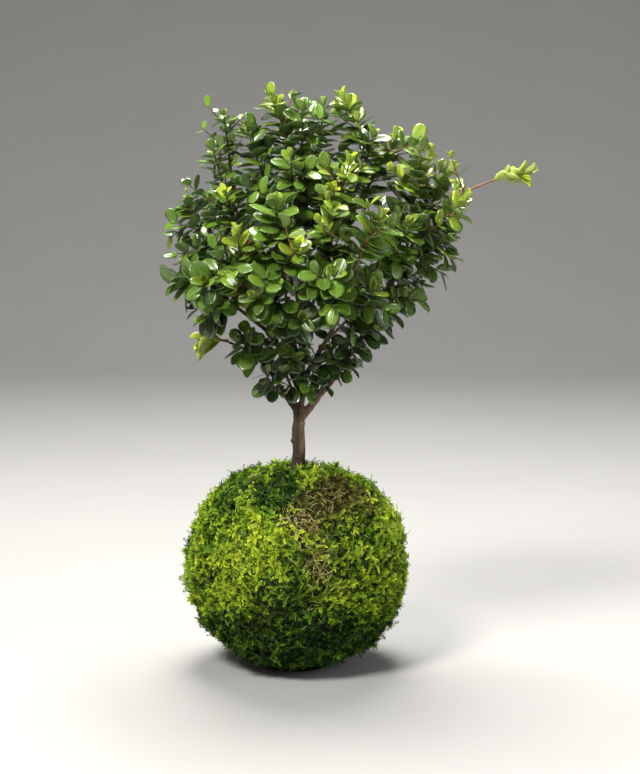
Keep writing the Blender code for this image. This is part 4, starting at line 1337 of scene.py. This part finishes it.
def moss_patch(polar, turn, point):
    """How bright and how dry the moss is here, each from 0 to 1. The brightness holds the moss's own tone, painted
    shade in hollows and on the ball's underside, and painted highlights.
    """
    shade = 0.52 + 0.26 * noise.noise(point * 48) + 0.16 * noise.noise(point * 120)
    dry = 0.06 + 0.30 * noise.noise(point * 38 + Vector((7, 0, 0)))
    down, round_ = math.degrees(polar), math.degrees(turn)
    for centre, about, reach_down, reach_round, painted_light_and_tone, drier in MOSS_PATCHES:
        aside = (round_ - about + 180) % 360 - 180
        share = math.exp(-((down - centre) / reach_down) ** 2 - (aside / reach_round) ** 2)
        shade += painted_light_and_tone * share
        dry += drier * share
    # Painted shade: the moss darkens towards the ball's underside.
    shade -= 0.90 * min(max((down - 103) / 28, 0.0), 1.0)
    return min(max(shade, 0.0), 1.0), min(max(dry, 0.0), 1.0)


def moss_mat(name, first_row, last_row, first_column, last_column, ball):
    """A sheet's own body: a closed slab with a cushioned outer side, and how well its moss grows at each point."""
    mat = bmesh.new()
    growth_layer, shade_layer, dry_layer = (mat.verts.layers.float.new(name) for name in ("growth", "shade", "dry"))
    rows = (last_row - first_row) * MAT_FINENESS
    columns = (last_column - first_column) * MAT_FINENESS
    layers = []
    for inset in (0.0, MOSS_THICKNESS):
        layer = []
        for i in range(rows + 1):
            line = []
            for j in range(columns + 1):
                polar, turn = fine_angles(first_row + i / MAT_FINENESS, first_column + j / MAT_FINENESS)
                around = BALL_RADIUS * math.sin(polar)
                polar += SEAM / BALL_RISE * ((i == 0 and first_row > 0) - (i == rows))
                turn += min(SEAM / around, 0.2) * ((j == 0) - (j == columns))
                point = ball_point(polar, turn, inset)
                grown_here = 0.0
                if inset == 0.0:
                    out = (point - BALL_CENTRE).normalized()
                    tuft = clump(point)
                    lift = 0.75 * cushion(point) + 0.25 * tuft
                    low = min(max(point.z / (9 * MM), 0), 1)
                    point = point - out * (ball.moss_sink - ball.cushion_height * lift * low)
                    point.z = max(point.z, 0.2 * MM)
                    grown_here = (0.20 + 0.45 * lift + 0.35 * tuft) * low
                vert = mat.verts.new(point)
                shade, dry = moss_patch(polar, turn, point)
                vert[growth_layer] = grown_here
                if inset == 0.0:
                    # Painted shade in the creases between cushions and clumps, and painted highlight on their tops.
                    shade = min(max(shade + 0.20 * (lift - 0.5) + 0.42 * (tuft - 0.62), 0.0), 1.0)
                vert[shade_layer] = shade
                vert[dry_layer] = dry
                line.append(vert)
            layer.append(line)
        layers.append(layer)
    outer, inner = layers
    for i in range(rows):
        for j in range(columns):
            mat.faces.new((outer[i][j], outer[i + 1][j], outer[i + 1][j + 1], outer[i][j + 1]))
            mat.faces.new((inner[i][j], inner[i][j + 1], inner[i + 1][j + 1], inner[i + 1][j]))
    for j in range(columns):
        mat.faces.new((outer[0][j], outer[0][j + 1], inner[0][j + 1], inner[0][j]))
        mat.faces.new((outer[rows][j + 1], outer[rows][j], inner[rows][j], inner[rows][j + 1]))
    for i in range(rows):
        mat.faces.new((outer[i + 1][0], outer[i][0], inner[i][0], inner[i + 1][0]))
        mat.faces.new((outer[i][columns], outer[i + 1][columns], inner[i + 1][columns], inner[i][columns]))
    bmesh.ops.recalc_face_normals(mat, faces=mat.faces)
    return object_from(f"{name}_tufts", mat)


def build_short_tufts(ball):
    """Three short tufts of a few upright leaflets."""
    rng = random.Random(31)
    store = shape_store("short_tufts")
    tall = ball.tuft_height * 0.8
    star_tuft("short_a", store, rng, 7, tall, 0.80 * MM, 50)
    star_tuft("short_b", store, rng, 6, tall * 1.1, 0.70 * MM, 40)
    star_tuft("short_c", store, rng, 8, tall * 0.8, 0.90 * MM, 62)
    return store


def build_rosettes(ball):
    """Five larger rosettes: three of arching fronds and two of broad leaflets."""
    rng = random.Random(32)
    store = shape_store("rosettes")
    tall = ball.tuft_height
    feather_tuft("rosette_a", store, rng, 3, tall * 0.95, tall * 0.95)
    feather_tuft("rosette_b", store, rng, 4, tall * 0.80, tall * 1.10)
    feather_tuft("rosette_c", store, rng, 2, tall * 1.15, tall * 1.0)
    star_tuft("rosette_d", store, rng, 15, tall * 1.0, 1.35 * MM, 62)
    star_tuft("rosette_e", store, rng, 12, tall * 1.2, 1.10 * MM, 48)
    return store


SLOTS = {"bright": "moss_bright", "green": "moss_green", "dark": "moss_dark", "dry": "moss_dry"}


def base_pad():
    """The pad under the ball: pressed flat below, domed at its rim."""
    pad = bmesh.new()
    rings = []
    for inset, shares in ((0.0, (0.0, 0.35, 0.7, 1.0)), (MOSS_THICKNESS, (1.0, 0.6, 0.2, 0.0))):
        for share in shares:
            ring = []
            for k in range(PAD_SIDES):
                polar, turn = fine_angles(len(ROWS) - 1, k * COLUMNS / PAD_SIDES)
                edge = ball_point(polar + SEAM / BALL_RISE, turn, inset)
                point = Vector((0, 0, edge.z)).lerp(edge, max(share, 0.02))
                if inset == 0.0:
                    point.z = 0.2 * MM + 0.5 * MM * max(0.0, noise.noise(point * 400)) * (share < 1)
                ring.append(pad.verts.new(point))
            rings.append(ring)
    for first, second in zip(rings, rings[1:]):
        bridge(pad, first, second)
    pad.faces.new(rings[0])
    pad.faces.new(rings[-1])
    bmesh.ops.recalc_face_normals(pad, faces=pad.faces)
    return object_from("moss_base_pad", pad)


def fibre_points(rng, place, length, rise):
    """A dry stem's path: it lies over the moss, arches a little and ends in the tufts again."""
    out = (place - BALL_CENTRE).normalized()
    along = out.cross(Vector((rng.uniform(-1, 1), rng.uniform(-1, 1), rng.uniform(-1, 1)))).normalized()
    sideways = out.cross(along)
    curl = rng.uniform(-0.22, 0.22)
    points = []
    for k in range(6):
        t = k / 5 - 0.5
        point = place + along * length * t + sideways * length * curl * t * t
        radius = (place - BALL_CENTRE).length
        point = BALL_CENTRE + (point - BALL_CENTRE).normalized() * (radius + rise * (1 - 4 * t * t))
        points.append(point)
    return points


# Where dry stems lie: angle from +Z, angle about +Z in degrees, spread, number, length in millimetres.
FIBRE_PATCHES = (
    (57, -86, 9, 60, 5), (80, -78, 12, 54, 5), (38, -50, 15, 12, 4), (47, -70, 10, 18, 4.5), (98, -84, 16, 12, 4),
    (60, -150, 45, 14, 5), (70, -20, 30, 20, 5), (70, 90, 60, 45, 6), (60, 30, 25, 24, 6), (100, 170, 50, 16, 5),
    (20, 60, 25, 24, 6),
)


def build_fibres():
    """Every dry stem in the moss, as one piece of thin closed tubes."""
    rng = random.Random(5)
    fibres = bmesh.new()
    for polar, turn, spread, count, length in FIBRE_PATCHES:
        for _ in range(count):
            place = ball_point(math.radians(max(polar + rng.gauss(0, spread * 0.5), 9)),
                               math.radians(turn + rng.gauss(0, spread * 0.5) / math.sin(math.radians(polar))),
                               rng.uniform(-0.1, 2.4) * MM)
            if place.z < 12 * MM:
                continue
            line = fibre_points(rng, place, length * rng.uniform(0.6, 1.4) * MM, rng.uniform(0.2, 1.1) * MM)
            thick = rng.uniform(0.07, 0.13) * MM
            add_parts(fibres, tube_mesh(line, [thick * share for share in (1, 1, 1, 1, 0.8, 0.5)], 4))
    bmesh.ops.recalc_face_normals(fibres, faces=fibres.faces)
    piece = object_from("dry_stems_in_the_moss", fibres)
    piece.data.materials.append(thread_finish("straw", (0.62, 0.45, 0.20), (0.70, 0.68, 0.26)))
    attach(piece, "root")
    return piece


# ---------------------------------------------------------------- settings

def length_setting(name, description, default, least, most):
    return FloatProperty(name=name, description=description, default=default * MM, min=least * MM, max=most * MM,
                         unit="LENGTH")


def colour_setting(name, description, default):
    return FloatVectorProperty(name=name, description=description, subtype="COLOR", default=default, min=0, max=1)


class KokedamaBall(bpy.types.PropertyGroup):
    """Sizes and colours of the moss ball."""

    tuft_height: length_setting("Tuft height", "Height of a tuft of moss", 4.0, 0.5, 10)
    tufts_per_m2: FloatProperty(name="Short tufts per square metre", description="How thickly the short tufts stand",
                                default=240000.0, min=0.0, max=900000.0)
    rosette_gap: length_setting("Rosette gap", "Least distance between two rosettes", 2.9, 1.5, 20)
    cushion_height: length_setting("Cushion height", "How far the moss cushions rise from the creases", 4.2, 0.0, 8)
    moss_sink: length_setting("Sheet sink", "How far the creases lie under the tips of the moss", 5.0, 0.0, 7)
    lean: FloatProperty(name="Tuft lean", description="Most that a tuft leans to a side", default=0.5, min=0.0,
                        max=1.5, subtype="ANGLE")
    droop: FloatProperty(name="Tuft droop", description="How much the tufts hang under their own weight",
                         default=0.35, min=0.0, max=1.0, subtype="FACTOR")
    # The moss colours are picked by the shade attribute, which holds the moss's own tone, painted shade and painted
    # highlights.
    bright_moss: colour_setting("Bright moss", "Tips of the bright moss", (0.75, 0.90, 0.060))
    green_moss: colour_setting("Green moss", "Tips of the green moss", (0.27, 0.50, 0.020))
    dark_moss: colour_setting("Dark moss", "Tips of the dark moss", (0.026, 0.085, 0.008))
    dry_moss: colour_setting("Dry moss", "Tips of the dry moss", (0.34, 0.31, 0.060))


class KokedamaPlant(bpy.types.PropertyGroup):
    """Sizes and colours of the shrub."""

    bark_detail: length_setting("Bark detail", "Size of the smallest bump of the bark", 0.45, 0.2, 2)
    leaf_size: FloatProperty(name="Leaf size", description="Leaf length as a share of the planned one", default=1.0,
                             min=0.5, max=1.5, subtype="FACTOR")
    twigs_per_shoot: IntProperty(name="Side twigs", description="Most side twigs on one shoot", default=7, min=0,
                                 max=8)
    # The darkest leaf colour: old leaves, and painted shade low and inside the crown.
    old_and_shaded_leaf: colour_setting("Old leaf", "Darkest leaves", (0.014, 0.045, 0.006))
    grown_leaf: colour_setting("Grown leaf", "Mid-green leaves", (0.170, 0.325, 0.026))
    young_leaf: colour_setting("Young leaf", "Leaves of this season", (0.29, 0.48, 0.025))
    budding_leaf: colour_setting("Budding leaf", "Newest leaves", (0.70, 0.84, 0.045))


# ---------------------------------------------------------------- operators

class KOKEDAMA_OT_stage(bpy.types.Operator):
    """Floor, soft lights and camera"""

    bl_idname = "kokedama.stage"
    bl_label = "Set the stage"

    def execute(self, context):
        build_stage()
        return {"FINISHED"}


class KOKEDAMA_OT_soil(bpy.types.Operator):
    """Soil ball and the thread that ties the moss to it"""

    bl_idname = "kokedama.soil"
    bl_label = "Finish soil and thread"

    def execute(self, context):
        for node, material in (("soil_ball", soil_finish()),
                               ("binding_thread", thread_finish("thread", (0.045, 0.05, 0.02), (0.09, 0.085, 0.04)))):
            mesh = frame["nodes"][node].data
            mesh.materials.clear()
            mesh.materials.append(material)
        return {"FINISHED"}


class KOKEDAMA_OT_moss(bpy.types.Operator):
    """Sheets of moss with their tufts"""

    bl_idname = "kokedama.moss"
    bl_label = "Grow the moss"

    def execute(self, context):
        ball = context.scene.kokedama_ball
        finishes = {kind: moss_finish(SLOTS[kind], ball) for kind in SLOTS}
        stores = build_short_tufts(ball), build_rosettes(ball)
        tree, names = moss_growth_tree()
        made = []
        for seed, (node, first_row, last_row, first_column, last_column, kind) in enumerate(SHEETS):
            piece = moss_mat(node, first_row, last_row, first_column, last_column, ball)
            grown(piece, tree, names, {"Short tufts": stores[0], "Short tufts per m2": ball.tufts_per_m2,
                                       "Rosettes": stores[1], "Rosette gap": ball.rosette_gap, "Tuft size": 1.0,
                                       "Lean": ball.lean, "Droop": ball.droop, "Seed": seed,
                                       "Moss": finishes[kind]})
            made.append((piece, node, SLOTS[kind]))
        pad = base_pad()
        # The pad holds no shade attribute, so it takes the darkest moss colour: painted shade under the ball.
        pad.data.materials.append(finishes["dark"])
        made.append((pad, "moss_base", "moss_dark"))
        for store in stores:
            clear_store(store)
        bpy.data.node_groups.remove(tree)
        for piece, node, slot in made:
            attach(piece, "root")
            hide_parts(node)
        return {"FINISHED"}


class KOKEDAMA_OT_fibres(bpy.types.Operator):
    """Dry stems caught in the moss"""

    bl_idname = "kokedama.fibres"
    bl_label = "Scatter dry stems"

    def execute(self, context):
        build_fibres()
        return {"FINISHED"}


class KOKEDAMA_OT_wood(bpy.types.Operator):
    """Trunk, limbs and roots"""

    bl_idname = "kokedama.wood"
    bl_label = "Grow the wood"

    def execute(self, context):
        build_wood(context.scene.kokedama_plant)
        return {"FINISHED"}


class KOKEDAMA_OT_shoots(bpy.types.Operator):
    """Leafy shoots of the crown"""

    bl_idname = "kokedama.shoots"
    bl_label = "Grow the shoots"

    def execute(self, context):
        plant = context.scene.kokedama_plant
        stems, wood, placed = plan_crown()
        rng = random.Random(SEED + 1)
        plan_outline_twigs(stems, wood, placed, rng)
        plan_side_twigs(stems, wood, placed, rng, plant.twigs_per_shoot, 9 * MM, 18 * MM)
        plan_between_pairs(stems, wood, placed, rng)
        store = shape_store("leaf_shapes")
        for k, values in enumerate(LEAF_SHAPES):
            leaf_shape(f"leaf_{k}", store, *values)
        tree, names = leafing_tree()
        leaf = leaf_finish(plant)
        stem_finishes = (twig_finish("woody_stem", (0.050, 0.030, 0.017), (0.085, 0.055, 0.025)),
                         twig_finish("young_stem", (0.26, 0.085, 0.026), (0.14, 0.085, 0.024)))
        for stem in stems:
            build_shoot(stem, tree, names, store, (leaf, stem_finishes[stem["young"]]), plant, rng)
        clear_store(store)
        bpy.data.node_groups.remove(tree)
        return {"FINISHED"}


class KOKEDAMA_PT_panel(bpy.types.Panel):
    """Kokedama sizes, colours and pieces"""

    bl_label = "Kokedama"
    bl_idname = "KOKEDAMA_PT_panel"
    bl_space_type = "VIEW_3D"
    bl_region_type = "UI"
    bl_category = "Kokedama"

    def draw(self, context):
        layout = self.layout
        for settings in (context.scene.kokedama_ball, context.scene.kokedama_plant):
            box = layout.box()
            for name in settings.__annotations__:
                box.prop(settings, name)
        for operator in OPERATORS:
            layout.operator(operator.bl_idname)


OPERATORS = (KOKEDAMA_OT_stage, KOKEDAMA_OT_soil, KOKEDAMA_OT_wood, KOKEDAMA_OT_moss, KOKEDAMA_OT_fibres,
             KOKEDAMA_OT_shoots)
CLASSES = (KokedamaBall, KokedamaPlant, *OPERATORS, KOKEDAMA_PT_panel)


def register():
    for cls in CLASSES:
        bpy.utils.register_class(cls)
    bpy.types.Scene.kokedama_ball = PointerProperty(type=KokedamaBall)
    bpy.types.Scene.kokedama_plant = PointerProperty(type=KokedamaPlant)


def unregister():
    del bpy.types.Scene.kokedama_plant
    del bpy.types.Scene.kokedama_ball
    for cls in reversed(CLASSES):
        bpy.utils.unregister_class(cls)


# ---------------------------------------------------------------- stage

CAMERA_PLACE = (14.1 * MM, -1.10, 0.300)
CAMERA_DOWN_DEG = 7.15
CAMERA_LENS_MM = 89.77
FLOOR_HALF_WIDTH = 7.0
FLOOR_FRONT = -6.2
FLOOR_BACK = 1.4
FLOOR_ROWS = 8
CURVE_RADIUS = 0.8
CURVE_STEPS = 15
BACKDROP_TOP = 3.0
# Lights: name, place, what they point at, size, power and colour.
LIGHTS = (
    ("ceiling", (0.0, 0.35, 1.25), (0.02, 0.0, 0.20), 0.7, 30, (1.0, 0.98, 0.95)),
    ("key", (-0.55, -0.85, 1.15), (0.0, 0.0, 0.12), 0.42, 28, (1.0, 0.98, 0.93)),
    ("side_fill", (1.3, -0.7, 0.7), (0, 0, 0.18), 0.8, 6.5, (0.97, 0.98, 1.0)),
)


def add_light(name, place, aim, size, power, colour):
    data = bpy.data.lights.new(name, "AREA")
    data.shape = "DISK"
    data.size = size
    data.energy = power
    data.color = colour
    light = bpy.data.objects.new(name, data)
    light.location = place
    light.rotation_euler = (Vector(aim) - Vector(place)).to_track_quat("-Z", "Y").to_euler()
    bpy.context.scene.collection.objects.link(light)


def build_stage():
    """A pale floor that curves up into a backdrop, soft light from above, and the camera."""
    profile = [(FLOOR_FRONT + (FLOOR_BACK - FLOOR_FRONT) * k / FLOOR_ROWS, 0.0) for k in range(FLOOR_ROWS)]
    for k in range(CURVE_STEPS + 1):
        angle = k / CURVE_STEPS * math.pi / 2
        profile.append((FLOOR_BACK + CURVE_RADIUS * math.sin(angle), CURVE_RADIUS * (1 - math.cos(angle))))
    profile.append((FLOOR_BACK + CURVE_RADIUS, BACKDROP_TOP))
    floor = bmesh.new()
    rows = [[floor.verts.new((x, y, z)) for x in (-FLOOR_HALF_WIDTH, FLOOR_HALF_WIDTH)] for y, z in profile]
    for (left, right), (next_left, next_right) in zip(rows, rows[1:]):
        floor.faces.new((left, right, next_right, next_left))
    backdrop = object_from("floor", floor)
    backdrop.data.materials.append(floor_finish())
    world = bpy.data.worlds.new("studio")
    world.use_nodes = True
    world.node_tree.nodes["Background"].inputs[0].default_value = (0.62, 0.64, 0.66, 1)
    world.node_tree.nodes["Background"].inputs[1].default_value = 0.34
    bpy.context.scene.world = world
    for light in LIGHTS:
        add_light(*light)
    camera = bpy.data.objects.new("camera", bpy.data.cameras.new("camera"))
    camera.location = CAMERA_PLACE
    camera.rotation_euler = (math.radians(90 - CAMERA_DOWN_DEG), 0, 0)
    camera.data.lens = CAMERA_LENS_MM
    camera.data.clip_start = 0.02
    bpy.context.scene.collection.objects.link(camera)
    bpy.context.scene.camera = camera
    bpy.context.scene.view_settings.view_transform = "Standard"


def main():
    register()
    bpy.ops.kokedama.stage()
    bpy.ops.kokedama.soil()
    bpy.ops.kokedama.wood()
    bpy.ops.kokedama.moss()
    bpy.ops.kokedama.fibres()
    bpy.ops.kokedama.shoots()


if __name__ == "__main__":
    main()
